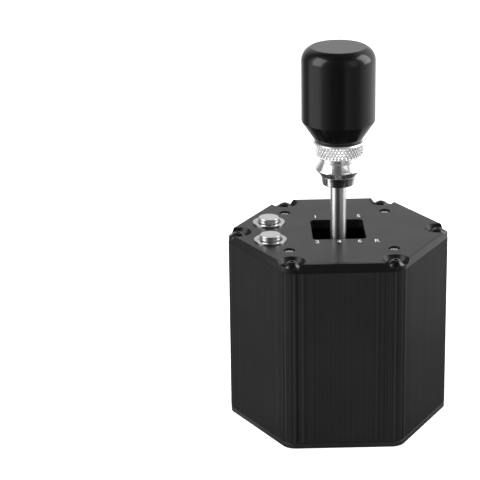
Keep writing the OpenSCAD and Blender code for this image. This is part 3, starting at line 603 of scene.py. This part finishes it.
def make_button(side, steel, cap_steel):
    """A push button: its fixed body with the bezel, and its moving cap."""
    lever = sizes()[1]
    low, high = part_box(f"{side}_button_body")
    cap_low, cap_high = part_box(f"{side}_button_cap")
    centre = middle(f"{side}_button_body")
    bezel_r, flange_r = (high.x - low.x) / 2, (cap_high.x - cap_low.x) / 2
    cap_r, bore_r, wide_r = flange_r - 0.9 * MM, flange_r - 0.85 * MM, flange_r + 0.05 * MM
    recess_r, recess_z = cap_r + 1 * MM, high.z - 1.35 * MM
    plate = high.z - lever.bezel_h
    flange_z = cap_low.z + 2 * MM
    shoulder = flange_z + 0.1 * MM
    foot_edge, rim_edge, inner_edge = 0.05 * MM, 0.12 * MM, 0.15 * MM
    body = turned(f"{side}_button_housing", [
        (wide_r, low.z), (BUTTON_THREAD_R, low.z), (BUTTON_THREAD_R, plate),
        (bezel_r - foot_edge, plate), (bezel_r, plate + foot_edge),
        *arc((bezel_r - rim_edge, high.z - rim_edge), rim_edge, 0, 90, 5),
        (recess_r + inner_edge, high.z), (recess_r, high.z - inner_edge), (recess_r, recess_z),
        (bore_r, recess_z), (bore_r, shoulder), (wide_r, shoulder), (wide_r, low.z),
    ], centre)
    seat(body, "case", "button_steel", steel, f"{side}_button_body")
    edge, top = lever.cap_edge, cap_high.z
    dish = beside((cap_r - edge, top), [(-0.25, -0.03), (-1.2, -0.07)])
    dish_z = top - 0.12 * MM
    cap = turned(f"{side}_button_plunger", [
        (0, cap_low.z), (flange_r, cap_low.z), (flange_r, flange_z), (cap_r, flange_z),
        (cap_r, top - edge), *arc((cap_r - edge, top - edge), edge, 0, 90, 6)[1:],
        *dish, (0, dish_z),
    ], centre)
    seat(cap, f"{side}_button", "button_steel", cap_steel, f"{side}_button_cap")


def make_rod(material):
    """The lever rod with its follower pin and its threaded end."""
    low, high, rod_r = rod_low.z, rod_high.z, rod_high.x
    pin_r, thread_r = 2 * MM, rod_r - ROD_STEP
    pin_top, edge = follower_high.z + 0.1 * MM, 0.3 * MM
    piece = turned("polished_rod", [
        (0, low), (pin_r - edge, low), (pin_r, low + edge), (pin_r, pin_top),
        (rod_r - edge, pin_top), (rod_r, pin_top + edge), (rod_r, ring_low.z),
        (thread_r, ring_low.z), (thread_r, high - edge), (thread_r - edge, high), (0, high),
    ], steps=128)
    seat(piece, "stick", "lever_steel", material, "lever_rod")


def make_lower_sleeve(material):
    """The tapered sleeve at the foot of the collar."""
    low, high, top_r = sleeve_low.z, sleeve_high.z, sleeve_high.x
    bore_r, bore_edge = rod_high.x + CLEAR, 0.3 * MM
    foot_r, foot_edge = top_r - 0.75 * MM, 0.8 * MM
    piece = turned("collar_foot", [
        (bore_r, high), (bore_r, low + bore_edge), (bore_r + bore_edge, low),
        (foot_r - foot_edge, low),
        *arc((foot_r - foot_edge, low + foot_edge), foot_edge, -90, -8, 6)[1:],
        *beside((top_r, high), [(-0.12, -0.5), (0, -0.25), (0, 0)]), (bore_r, high),
    ], steps=128)
    seat(piece, "stick", "lever_steel", material, "lower_sleeve")


def make_flared_collar(material):
    """The flared collar with its neck."""
    low, high, flare_r = flare_low.z, flare_high.z, flare_high.x
    neck_r, foot_r, bore_r = 9.75 * MM, sleeve_high.x, rod_high.x + CLEAR
    wide_z, lip_z = low + 3.7 * MM, low + 8.3 * MM
    wide_edge = [(-0.5, -0.7), (-0.15, -0.35), (0, 0), (-0.05, 0.35), (-0.4, 0.8)]
    lip = [(0.45, -0.6), (0.3, -0.3), (0.3, 0), (0, 0.3)]
    piece = turned("flared_ring", [
        (bore_r, low), (foot_r, low), *beside((flare_r, wide_z), wide_edge),
        *beside((neck_r, lip_z), lip), (neck_r, high), (bore_r, high), (bore_r, low),
    ], steps=128)
    seat(piece, "stick", "lever_steel", material, "flared_collar")


def knurl(angle, height):
    """Height of the knurled surface, from 0 in a groove to 1 on a diamond's flattened point."""
    lever = sizes()[1]
    around = lever.knurl_count * angle / math.tau
    up = height / lever.knurl_pitch
    rise = [abs((way + 0.5) % 1 - 0.5) * 2 for way in (around + up, around - up)]
    return min(1, 1.25 * min(rise))


def make_lock_ring(material):
    """The lock ring with its diamond knurl."""
    lever = sizes()[1]
    low, high, edge = ring_low.z, ring_high.z, lever.ring_edge
    ring_r, bore_r = ring_high.x, rod_high.x - ROD_STEP + CLEAR
    rows, fade_out = 28, 0.5 * MM
    face = [(ring_r, low + edge + (high - low - 2 * edge) * i / rows) for i in range(rows + 1)]
    piece = turned("knurled_ring", [
        (bore_r, low), (ring_r - edge, low), *face, (ring_r - edge, high), (bore_r, high),
        (bore_r, low),
    ], steps=12 * lever.knurl_count)
    start, end = low + edge - CLEAR, high - edge + CLEAR
    for vertex in piece.data.vertices:
        x, y, z = vertex.co
        reach = math.hypot(x, y)
        if reach > ring_r - CLEAR and start < z < end:
            near_end = min(1, (min(z - start, end - z)) / fade_out)
            groove = 1 - knurl(math.atan2(y, x), z - low)
            sunk = reach - lever.knurl_depth * groove * near_end
            vertex.co = (x * sunk / reach, y * sunk / reach, z)
    finished(piece, 40)
    seat(piece, "stick", "ring_steel", material, "lock_ring")


def make_knob(material):
    """The gear knob, with a flat top and a bore for its insert."""
    lever = sizes()[1]
    low, top, knob_r = knob_low.z, knob_high.z, knob_high.x
    rim_r, cone_h, edge = lever.knob_rim_d / 2, lever.knob_cone_h, lever.knob_rim_edge
    shoulder_r, edge_r = lever.knob_shoulder_r, lever.knob_edge_r
    cone = math.degrees(math.atan((knob_r - rim_r) / cone_h))
    shoulder_z = low + cone_h + shoulder_r * math.tan(math.radians(cone / 2))
    turn_end = 70
    edge_z = top - edge_r * math.sin(math.radians(turn_end))
    bore_r, bore_edge = insert_high.x + CLEAR, 0.3 * MM
    bore_top = insert_high.z + 0.1 * MM
    piece = turned("gear_knob", [
        (0, bore_top), (bore_r, bore_top), (bore_r, low + bore_edge), (bore_r + bore_edge, low),
        (rim_r - edge, low), (rim_r, low + 0.8 * edge),
        *arc((knob_r - shoulder_r, shoulder_z), shoulder_r, -cone, 0, 8),
        *arc((knob_r - edge_r, edge_z), edge_r, 0, turn_end, 18), (0, top),
    ], steps=192)
    finished(piece, 9)
    seat(piece, "stick", "knob_black", material, "knob")


def fill(tree, node, inputs):
    """Gives inputs of a node, by name or place, a value or a link from another node's socket."""
    for place, source in inputs.items():
        if isinstance(source, bpy.types.NodeSocket):
            tree.links.new(source, node.inputs[place])
        else:
            node.inputs[place].default_value = source
    return node


def add_node(tree, kind, inputs=None, **settings):
    """A node with its settings and its inputs."""
    node = tree.nodes.new(kind)
    for key, value in settings.items():
        setattr(node, key, value)
    return fill(tree, node, inputs or {})


def place_on(tree):
    """Places on the piece itself."""
    return add_node(tree, "ShaderNodeTexCoord").outputs["Object"]


def axes(tree, vector):
    """A vector's X, Y and Z."""
    return add_node(tree, "ShaderNodeSeparateXYZ", {"Vector": vector}).outputs


def calculated(tree, operation, *values):
    """The result of a Math node."""
    inputs = dict(enumerate(values))
    return add_node(tree, "ShaderNodeMath", inputs, operation=operation).outputs["Value"]


def scaled(tree, colour_in, factor):
    """A colour times a factor."""
    inputs = {0: colour_in, "Scale": factor}
    return add_node(tree, "ShaderNodeVectorMath", inputs, operation="SCALE").outputs["Vector"]


def spread(tree, value, start, end, first, last):
    """A value between start and end, spread from first to last."""
    return add_node(tree, "ShaderNodeMapRange", {
        "Value": value, "From Min": start, "From Max": end, "To Min": first, "To Max": last,
    }).outputs["Result"]


def noise_on(tree, vector, scale, detail):
    """Noise on a vector at a scale."""
    inputs = {"Vector": vector, "Scale": scale, "Detail": detail}
    return add_node(tree, "ShaderNodeTexNoise", inputs).outputs["Fac"]


def effect(name, inputs, outputs):
    """An empty shader group with named sockets, the sockets of its input node and its end."""
    kinds = {"Colour": "Color", "Centre": "Vector", "Normal": "Vector"}
    group = bpy.data.node_groups.new(name, "ShaderNodeTree")
    for way, labels in (("INPUT", inputs), ("OUTPUT", outputs)):
        for label in labels:
            kind = "NodeSocket" + kinds.get(label, "Float")
            socket = group.interface.new_socket(label, in_out=way, socket_type=kind)
            if way == "INPUT":
                socket.default_value = inputs[label]
    ins = group.nodes.new("NodeGroupInput").outputs
    return group, ins, group.nodes.new("NodeGroupOutput")


def placed(material, group, inputs):
    """The outputs of an effect's group, placed in a material with its own values."""
    return add_node(material.node_tree, "ShaderNodeGroup", inputs, node_tree=group).outputs


def shade(material, inputs):
    """Fills inputs of a material's Principled shader."""
    tree = material.node_tree
    return fill(tree, tree.nodes["Principled BSDF"], inputs)


def marks_effect(name, **more):
    """The start of an effect that marks a surface, with more inputs where it needs them."""
    return effect(name, {
        **more, "Scale": 4000, "Strength": 0.1, "Roughness Low": 0.3, "Roughness High": 0.4,
    }, ["Roughness", "Normal"])


def end_marks(group, ins, outs, gloss, height):
    """The end of such an effect: a roughness between its two values, and a normal."""
    rough = spread(group, gloss, 0.3, 0.7, ins["Roughness Low"], ins["Roughness High"])
    bump = add_node(group, "ShaderNodeBump", {
        "Distance": 0.1 * MM, "Height": height, "Strength": ins["Strength"],
    })
    fill(group, outs, {"Roughness": rough, "Normal": bump.outputs["Normal"]})
    return group


def grain_effect(name):
    """Fine grain of a blasted or moulded surface, with a slow change of its gloss."""
    group, ins, outs = marks_effect(name)
    place = place_on(group)
    gloss = noise_on(group, place, 45, 2)
    return end_marks(group, ins, outs, gloss, noise_on(group, place, ins["Scale"], 3))


def die_line_effect(name):
    """Fine upright lines of an extrusion: noise that is drawn out along it."""
    group, ins, outs = marks_effect(name)
    drawn_out = add_node(group, "ShaderNodeMapping", {
        "Vector": place_on(group), "Scale": (1, 1, 0.004),
    })
    lines = noise_on(group, drawn_out.outputs["Vector"], ins["Scale"], 2)
    return end_marks(group, ins, outs, lines, lines)


def lathe_effect(name):
    """Turning marks: rings round an upright axis through a centre."""
    group, ins, outs = marks_effect(name, Centre=(0, 0, 0))
    away = add_node(group, "ShaderNodeVectorMath", {
        0: place_on(group), 1: ins["Centre"],
    }, operation="SUBTRACT").outputs["Vector"]
    parts = axes(group, away)
    flat = add_node(group, "ShaderNodeCombineXYZ", {"X": parts["X"], "Y": parts["Y"]})
    reach = add_node(group, "ShaderNodeVectorMath", {0: flat.outputs[0]}, operation="LENGTH")
    cross = add_node(group, "ShaderNodeCombineXYZ", {"X": reach.outputs["Value"], "Y": parts["Z"]})
    rings = noise_on(group, cross.outputs["Vector"], ins["Scale"], 2)
    return end_marks(group, ins, outs, rings, rings)


def end_colour(group, ins, outs, noise, reach, share):
    """The end of an effect that makes a colour lighter and darker by a share of a noise."""
    centred = spread(group, noise, 0.5 - reach, 0.5 + reach, -1.0, 1.0)
    change = calculated(group, "MULTIPLY_ADD", centred, share, 1.0)
    fill(group, outs, {"Colour": scaled(group, ins["Colour"], change)})
    return group


def tint_effect(name):
    """Two close shades of a colour, in slow uneven patches."""
    inputs = {"Colour": (0.5, 0.5, 0.5, 1), "Change": 0.1, "Scale": 60}
    group, ins, outs = effect(name, inputs, ["Colour"])
    patches = noise_on(group, place_on(group), ins["Scale"], 4)
    return end_colour(group, ins, outs, patches, 0.25, ins["Change"])


def streak_and_painted_shade_effect(name):
    """Upright streaks in the colour of an extrusion: die streaks, strongest beside its corners,
    where they are painted highlights and shade of the flutes.
    """
    inputs = {"Colour": (0.5, 0.5, 0.5, 1), "Change": 0.7, "Scale": 45}
    group, ins, outs = effect(name, inputs, ["Colour"])
    parts = axes(group, place_on(group))
    turn = calculated(group, "ARCTAN2", parts["Y"], parts["X"])
    streaks = add_node(group, "ShaderNodeTexNoise", {
        "W": turn, "Scale": ins["Scale"], "Detail": 2,
    }, noise_dimensions="1D")
    # beside the corners the streaks are painted highlights and shade of the flutes, not only die
    # marks
    from_corner = calculated(group, "PINGPONG", turn, math.radians(30))
    fade = spread(group, from_corner, 0.06, 0.24, 1.0, 0.12)
    share = calculated(group, "MULTIPLY", fade, ins["Change"])
    return end_colour(group, ins, outs, streaks.outputs["Fac"], 0.2, share)


def shared(make, name):
    """An effect's group, made the first time that it is asked for."""
    return bpy.data.node_groups.get(name) or make(name)


class Finishes:
    """Makes the finishes from the shared effects."""

    def __init__(self):
        self.grain = shared(grain_effect, "fine_grain")
        self.tint = shared(tint_effect, "uneven_tint")
        self.lathe = shared(lathe_effect, "lathe_rings")
        self.die_lines = shared(die_line_effect, "die_lines")
        self.streaks = shared(streak_and_painted_shade_effect, "die_streaks_and_painted_shade")
        self.colours = bpy.context.scene.shifter_colours

    def start(self, name, tint, metallic, change, specular=0.5, patch_scale=60):
        """A material with an uneven tint."""
        material = bpy.data.materials.new(name)
        material.use_nodes = True
        uneven = placed(material, self.tint, {
            "Colour": (*tint, 1), "Change": change, "Scale": patch_scale,
        })
        shade(material, {
            "Metallic": metallic, "Specular IOR Level": specular, "Base Color": uneven["Colour"],
        })
        return material

    def surface(self, material, group, strength, scale, low, high, **more):
        """Links one of the effects that mark a surface to roughness and normal."""
        marks = placed(material, group, {
            "Strength": strength, "Scale": scale, "Roughness Low": low, "Roughness High": high,
            **more,
        })
        shade(material, {name: marks[name] for name in ("Roughness", "Normal")})
        return material

    def satin(self, name, tint, low, high, strength=0.12, scale=5000, metallic=0, specular=0.5,
              change=0.08):
        """A satin or moulded finish with fine grain."""
        material = self.start(name, tint, metallic, change, specular)
        return self.surface(material, self.grain, strength, scale, low, high)

    def extruded(self, name, tint, low, high):
        """An anodised extrusion with upright streaks, partly painted highlights and shade of its
        flutes, and fine die lines.
        """
        material = self.start(name, tint, 0, 0.1, 0.04, 30)
        plain = shade(material, {}).inputs["Base Color"].links[0].from_socket
        # painted highlights and shade of the flutes, mixed into the colour as streaks
        streaked = placed(material, self.streaks, {"Colour": plain})
        shade(material, {"Base Color": streaked["Colour"]})
        return self.surface(material, self.die_lines, 0.12, 2600, low, high)

    def machined(self, name, tint, low, high, centre=(0, 0, 0), strength=0.1, metallic=1.0):
        """Turned or polished metal with rings round its axis."""
        material = self.start(name, tint, metallic, 0.04)
        return self.surface(material, self.lathe, strength, 5000, low, high, Centre=centre)

    def ground(self, name, tint, low, high, strength, anisotropic):
        """Turned metal whose highlight is drawn out along its axis."""
        material = self.machined(name, tint, low, high, strength=strength)
        tree = material.node_tree
        tangent = add_node(tree, "ShaderNodeTangent", direction_type="RADIAL", axis="Z")
        shade(material, {
            "Anisotropic": anisotropic, "Anisotropic Rotation": 0.25,
            "Tangent": tangent.outputs["Tangent"],
        })
        return material


def dress_frame(finishes):
    """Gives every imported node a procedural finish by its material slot."""
    colours, satin, machined = finishes.colours, finishes.satin, finishes.machined
    board_green, aluminium = (0.02, 0.16, 0.07), (0.55, 0.55, 0.56)
    zinc, spring, bearing = (0.50, 0.50, 0.51), (0.40, 0.41, 0.43), (0.58, 0.60, 0.63)
    makers = {
        "housing_anodised": (finishes.extruded, colours.housing, 0.4, 0.5),
        "plate_anodised": (satin, colours.plate, 0.3, 0.36),
        "base_black": (satin, colours.base, 0.4, 0.5),
        "screw_black": (satin, colours.screw, 0.3, 0.4),
        "button_steel": (machined, colours.button, 0.2, 0.3),
        "lever_steel": (machined, colours.lever, 0.15, 0.25),
        "ring_steel": (machined, colours.ring, 0.2, 0.3),
        "knob_black": (satin, colours.knob, 0.2, 0.25),
        "brass": (machined, (0.72, 0.52, 0.22), 0.25, 0.38),
        "machined_aluminium": (satin, aluminium, 0.3, 0.45, 0.2, 1500, 1),
        "zinc_steel": (satin, zinc, 0.3, 0.45, 0.15, 3000, 1),
        "spring_steel": (satin, spring, 0.25, 0.4, 0.1, 6000, 1),
        "bearing_steel": (machined, bearing, 0.15, 0.22),
        "magnet": (satin, (0.70, 0.70, 0.70), 0.15, 0.2, 0.05, 4000, 1),
        "circuit_board": (satin, board_green, 0.3, 0.45, 0.1, 2500, 0, 0.5, 0.25),
        "nylon_white": (satin, (0.75, 0.73, 0.66), 0.45, 0.6),
        "switch_plastic": (satin, (0.02, 0.02, 0.02), 0.4, 0.55),
    }
    looks = {slot: make(f"{slot}_inner", *values) for slot, (make, *values) in makers.items()}
    for row in frame["record"]["subparts"]:
        for place in frame["nodes"][row["node"]].material_slots:
            place.material = looks[row["material_slot"]]


def make_camera():
    """The camera, fitted to the photograph's viewing angle."""
    deselect_all()
    bpy.ops.object.camera_add()
    camera = bpy.context.object
    camera.name = "photo_camera"
    camera.data.sensor_width = 36
    camera.data.lens = 153.72
    camera.data.clip_start, camera.data.clip_end = 0.01, 20
    yaw, tilt, roll = -0.781, 90 - 19.972, -0.889
    place = Matrix.Translation((-0.0693, -1.0725, 0.4930))
    for angle, axis in ((yaw, "Z"), (tilt, "X"), (roll, "Z")):
        place = place @ Matrix.Rotation(math.radians(angle), 4, axis)
    camera.matrix_world = place
    bpy.context.scene.camera = camera


def studio_light(tree, direction):
    """Brightness of the studio in reflections, by the angle from the camera's side."""
    parts = axes(tree, direction)
    to_camera = calculated(tree, "MULTIPLY", parts["Y"], -1.0)
    turn = calculated(tree, "ARCTAN2", parts["X"], to_camera)
    place = spread(tree, turn, -math.pi, math.pi, 0.0, 1.0)
    ramp = add_node(tree, "ShaderNodeValToRGB", {"Fac": place})
    steps = ramp.color_ramp.elements
    steps[0].position, steps[1].position = 0, 1
    last = len(STUDIO_LEVELS) - 1
    brightest = 2  # a ramp ends at 1, so it holds shares of this level
    for i, (angle, level) in enumerate(STUDIO_LEVELS):
        step = steps[0] if i == 0 else steps[-1] if i == last else steps.new((angle + 180) / 360)
        step.color = (level / brightest, level / brightest, level / brightest, 1)
    return scaled(tree, ramp.outputs["Color"], brightest)


def mixed(tree, share, plain, other):
    """A colour that turns into another one by a share."""
    inputs = {"Factor": share, "A": plain, "B": other}
    return add_node(tree, "ShaderNodeMix", inputs, data_type="RGBA").outputs["Result"]


def make_world():
    """A white background for the camera, the studio in reflections, a plain level for the rest."""
    world = bpy.data.worlds.new("studio")
    bpy.context.scene.world = world
    world.use_nodes = True
    tree = world.node_tree
    path = add_node(tree, "ShaderNodeLightPath").outputs
    direction = add_node(tree, "ShaderNodeTexCoord").outputs["Generated"]
    darker_overhead = spread(tree, axes(tree, direction)["Z"], 0.65, 0.9, 1.0, 0.1)
    level = scaled(tree, studio_light(tree, direction), darker_overhead)
    glossy = calculated(tree, "MAXIMUM", path["Is Glossy Ray"], path["Is Transmission Ray"])
    seen = mixed(tree, glossy, (0.55, 0.55, 0.55, 1), level)
    shown = mixed(tree, path["Is Camera Ray"], seen, (1, 1, 1, 1))
    fill(tree, tree.nodes["Background"], {"Color": shown})


def make_floor():
    """A plain white floor that keeps a faint shadow and shows the studio in reflections, with a
    painted shadow near the case.
    """
    deselect_all()
    bpy.ops.mesh.primitive_circle_add(
        vertices=96, radius=4, fill_type="NGON", location=(0, 0, -0.2 * MM)
    )
    floor = named("studio_floor")
    material = bpy.data.materials.new("white_floor")
    material.use_nodes = True
    tree = material.node_tree
    shader = shade(material, {
        "Base Color": (0.85, 0.85, 0.85, 1), "Roughness": 0.9, "Specular IOR Level": 0,
    }).outputs["BSDF"]
    path = add_node(tree, "ShaderNodeLightPath").outputs
    place = place_on(tree)
    reach = add_node(tree, "ShaderNodeVectorMath", {0: place}, operation="LENGTH")
    # painted shadow: in reflections the floor grows darker near the case
    painted_shadow_nearby = spread(tree, reach.outputs["Value"], 0.12, 0.3, 0.25, 1.0)
    level = scaled(tree, studio_light(tree, place), painted_shadow_nearby)
    white = add_node(tree, "ShaderNodeEmission", {"Strength": 0.8}).outputs["Emission"]
    mirror = add_node(tree, "ShaderNodeEmission", {"Color": level}).outputs["Emission"]
    lit = add_node(tree, "ShaderNodeAddShader", {0: shader, 1: white}).outputs["Shader"]
    plain = add_node(tree, "ShaderNodeMixShader", {0: path["Is Camera Ray"], 1: shader, 2: lit})
    shown = add_node(tree, "ShaderNodeMixShader", {
        0: path["Is Glossy Ray"], 1: plain.outputs["Shader"], 2: mirror,
    })
    fill(tree, tree.nodes["Material Output"], {"Surface": shown.outputs["Shader"]})
    floor.data.materials.append(material)


def make_softbox(name, azimuth, elevation, distance, width, height, brightness, mirrored):
    """An area lamp turned to the case, placed by its angle from the camera's side."""
    deselect_all()
    target = Vector((0, 0, 0.12))
    turn, rise = math.radians(azimuth), math.radians(elevation)
    level = math.cos(rise)
    away = Vector((math.sin(turn) * level, -math.cos(turn) * level, math.sin(rise)))
    bpy.ops.object.light_add(type="AREA", location=target + away * distance)
    lamp = bpy.context.object
    lamp.name = name
    lamp.rotation_euler = away.to_track_quat("Z", "Y").to_euler()
    lamp.data.shape = "RECTANGLE"
    lamp.data.size, lamp.data.size_y = width, height
    lamp.data.energy = brightness * math.pi * width * height
    lamp.visible_camera = False
    lamp.visible_glossy = mirrored


class SHIFTER_OT_stage(bpy.types.Operator):
    """Sets up the camera, the floor, the world and the lamps"""

    bl_idname = "shifter.stage"
    bl_label = "Stage"

    def execute(self, context):
        context.scene.view_settings.view_transform = "Standard"
        make_camera()
        make_world()
        make_floor()
        for name, values in SOFT_BOXES.items():
            make_softbox(name, *values)
        return {"FINISHED"}


class SHIFTER_OT_inner_parts(bpy.types.Operator):
    """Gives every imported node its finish"""

    bl_idname = "shifter.inner_parts"
    bl_label = "Inner parts"

    def execute(self, context):
        dress_frame(Finishes())
        return {"FINISHED"}


class SHIFTER_OT_housing(bpy.types.Operator):
    """Builds the extruded housing"""

    bl_idname = "shifter.housing"
    bl_label = "Housing"

    def execute(self, context):
        finishes = Finishes()
        make_housing(finishes.extruded("housing_finish", finishes.colours.housing, 0.42, 0.52))
        return {"FINISHED"}


class SHIFTER_OT_plates(bpy.types.Operator):
    """Builds the top plate and the base plate"""

    bl_idname = "shifter.plates"
    bl_label = "Plates"

    def execute(self, context):
        finishes = Finishes()
        colours, satin = finishes.colours, finishes.satin
        make_top_plate(satin("top_plate_satin", colours.plate, 0.28, 0.34, 0.06,
                             specular=0.2, change=0.1))
        make_base_plate(satin("base_satin", colours.base, 0.35, 0.45))
        return {"FINISHED"}


class SHIFTER_OT_screws(bpy.types.Operator):
    """Builds the six corner screws and the four small screws"""

    bl_idname = "shifter.screws"
    bl_label = "Screws"

    def execute(self, context):
        finishes = Finishes()
        black, zinc = finishes.colours.screw, (0.6, 0.6, 0.61)
        make_corner_screws(finishes.satin("black_oxide", black, 0.16, 0.24, 0.08))
        make_station_screws(finishes.satin("zinc_screw", zinc, 0.2, 0.3, 0.08, metallic=0.4))
        return {"FINISHED"}


class SHIFTER_OT_labels(bpy.types.Operator):
    """Builds the gear numbers on the top plate"""

    bl_idname = "shifter.labels"
    bl_label = "Gear labels"

    def execute(self, context):
        finishes = Finishes()
        make_labels(finishes.satin("label_print", finishes.colours.label, 0.5, 0.6))
        return {"FINISHED"}


class SHIFTER_OT_buttons(bpy.types.Operator):
    """Builds the two push buttons"""

    bl_idname = "shifter.buttons"
    bl_label = "Push buttons"

    def execute(self, context):
        finishes = Finishes()
        bezel, cap = (0.5, 0.5, 0.5), finishes.colours.button
        for side in ("front", "rear"):
            centre = (*middle(f"{side}_button_body"), 0)
            make_button(
                side,
                finishes.machined(f"{side}_bezel_steel", bezel, 0.2, 0.28, centre, 0.05),
                finishes.machined(f"{side}_cap_steel", cap, 0.24, 0.36, centre, 0.12),
            )
        return {"FINISHED"}


class SHIFTER_OT_rod(bpy.types.Operator):
    """Builds the lever rod"""

    bl_idname = "shifter.rod"
    bl_label = "Lever rod"

    def execute(self, context):
        finishes = Finishes()
        steel = finishes.colours.lever
        make_rod(finishes.ground("ground_steel", steel, 0.3, 0.36, 0.04, anisotropic=0.85))
        return {"FINISHED"}


class SHIFTER_OT_collar(bpy.types.Operator):
    """Builds the collar's sleeve, its flared ring and the knurled lock ring"""

    bl_idname = "shifter.collar"
    bl_label = "Collar"

    def execute(self, context):
        finishes = Finishes()
        colours, machined = finishes.colours, finishes.machined
        make_lower_sleeve(machined("polished_steel", colours.lever, 0.16, 0.24, strength=0.04))
        make_flared_collar(machined("collar_chrome", colours.ring, 0.1, 0.15,
                                    strength=0.03, metallic=0.92))
        make_lock_ring(machined("knurl_steel", colours.ring, 0.2, 0.28,
                                strength=0.02, metallic=0.6))
        return {"FINISHED"}


class SHIFTER_OT_knob(bpy.types.Operator):
    """Builds the gear knob"""

    bl_idname = "shifter.knob"
    bl_label = "Knob"

    def execute(self, context):
        finishes = Finishes()
        make_knob(finishes.satin("knob_gloss", finishes.colours.knob, 0.16, 0.2, 0.03, 4000,
                                 specular=0.3, change=0.1))
        return {"FINISHED"}


class SHIFTER_PT_panel(bpy.types.Panel):
    """Lists the operators of the gear shifter"""

    bl_idname = "SHIFTER_PT_panel"
    bl_label = "Gear shifter"
    bl_space_type = "VIEW_3D"
    bl_region_type = "UI"
    bl_category = "Shifter"

    def draw(self, context):
        for maker in MAKERS:
            self.layout.operator(maker.bl_idname)


GROUPS = [
    ("shifter_case", ShifterCaseSizes), ("shifter_lever", ShifterLeverSizes),
    ("shifter_colours", ShifterColours),
]
MAKERS = [
    SHIFTER_OT_stage, SHIFTER_OT_inner_parts, SHIFTER_OT_housing, SHIFTER_OT_plates,
    SHIFTER_OT_screws, SHIFTER_OT_labels, SHIFTER_OT_buttons, SHIFTER_OT_rod,
    SHIFTER_OT_collar, SHIFTER_OT_knob,
]


def register():
    """Registers the settings, the operators and the panel."""
    for name, group in GROUPS:
        bpy.utils.register_class(group)
        setattr(bpy.types.Scene, name, PointerProperty(type=group))
    for maker in (*MAKERS, SHIFTER_PT_panel):
        bpy.utils.register_class(maker)


def unregister():
    """Takes back what register added."""
    for maker in reversed((*MAKERS, SHIFTER_PT_panel)):
        bpy.utils.unregister_class(maker)
    for name, group in reversed(GROUPS):
        delattr(bpy.types.Scene, name)
        bpy.utils.unregister_class(group)


def main():
    """Builds everything."""
    register()
    bpy.ops.shifter.stage()
    bpy.ops.shifter.inner_parts()
    bpy.ops.shifter.housing()
    bpy.ops.shifter.plates()
    bpy.ops.shifter.screws()
    bpy.ops.shifter.labels()
    bpy.ops.shifter.buttons()
    bpy.ops.shifter.rod()
    bpy.ops.shifter.collar()
    bpy.ops.shifter.knob()


if __name__ == "__main__":
    main()
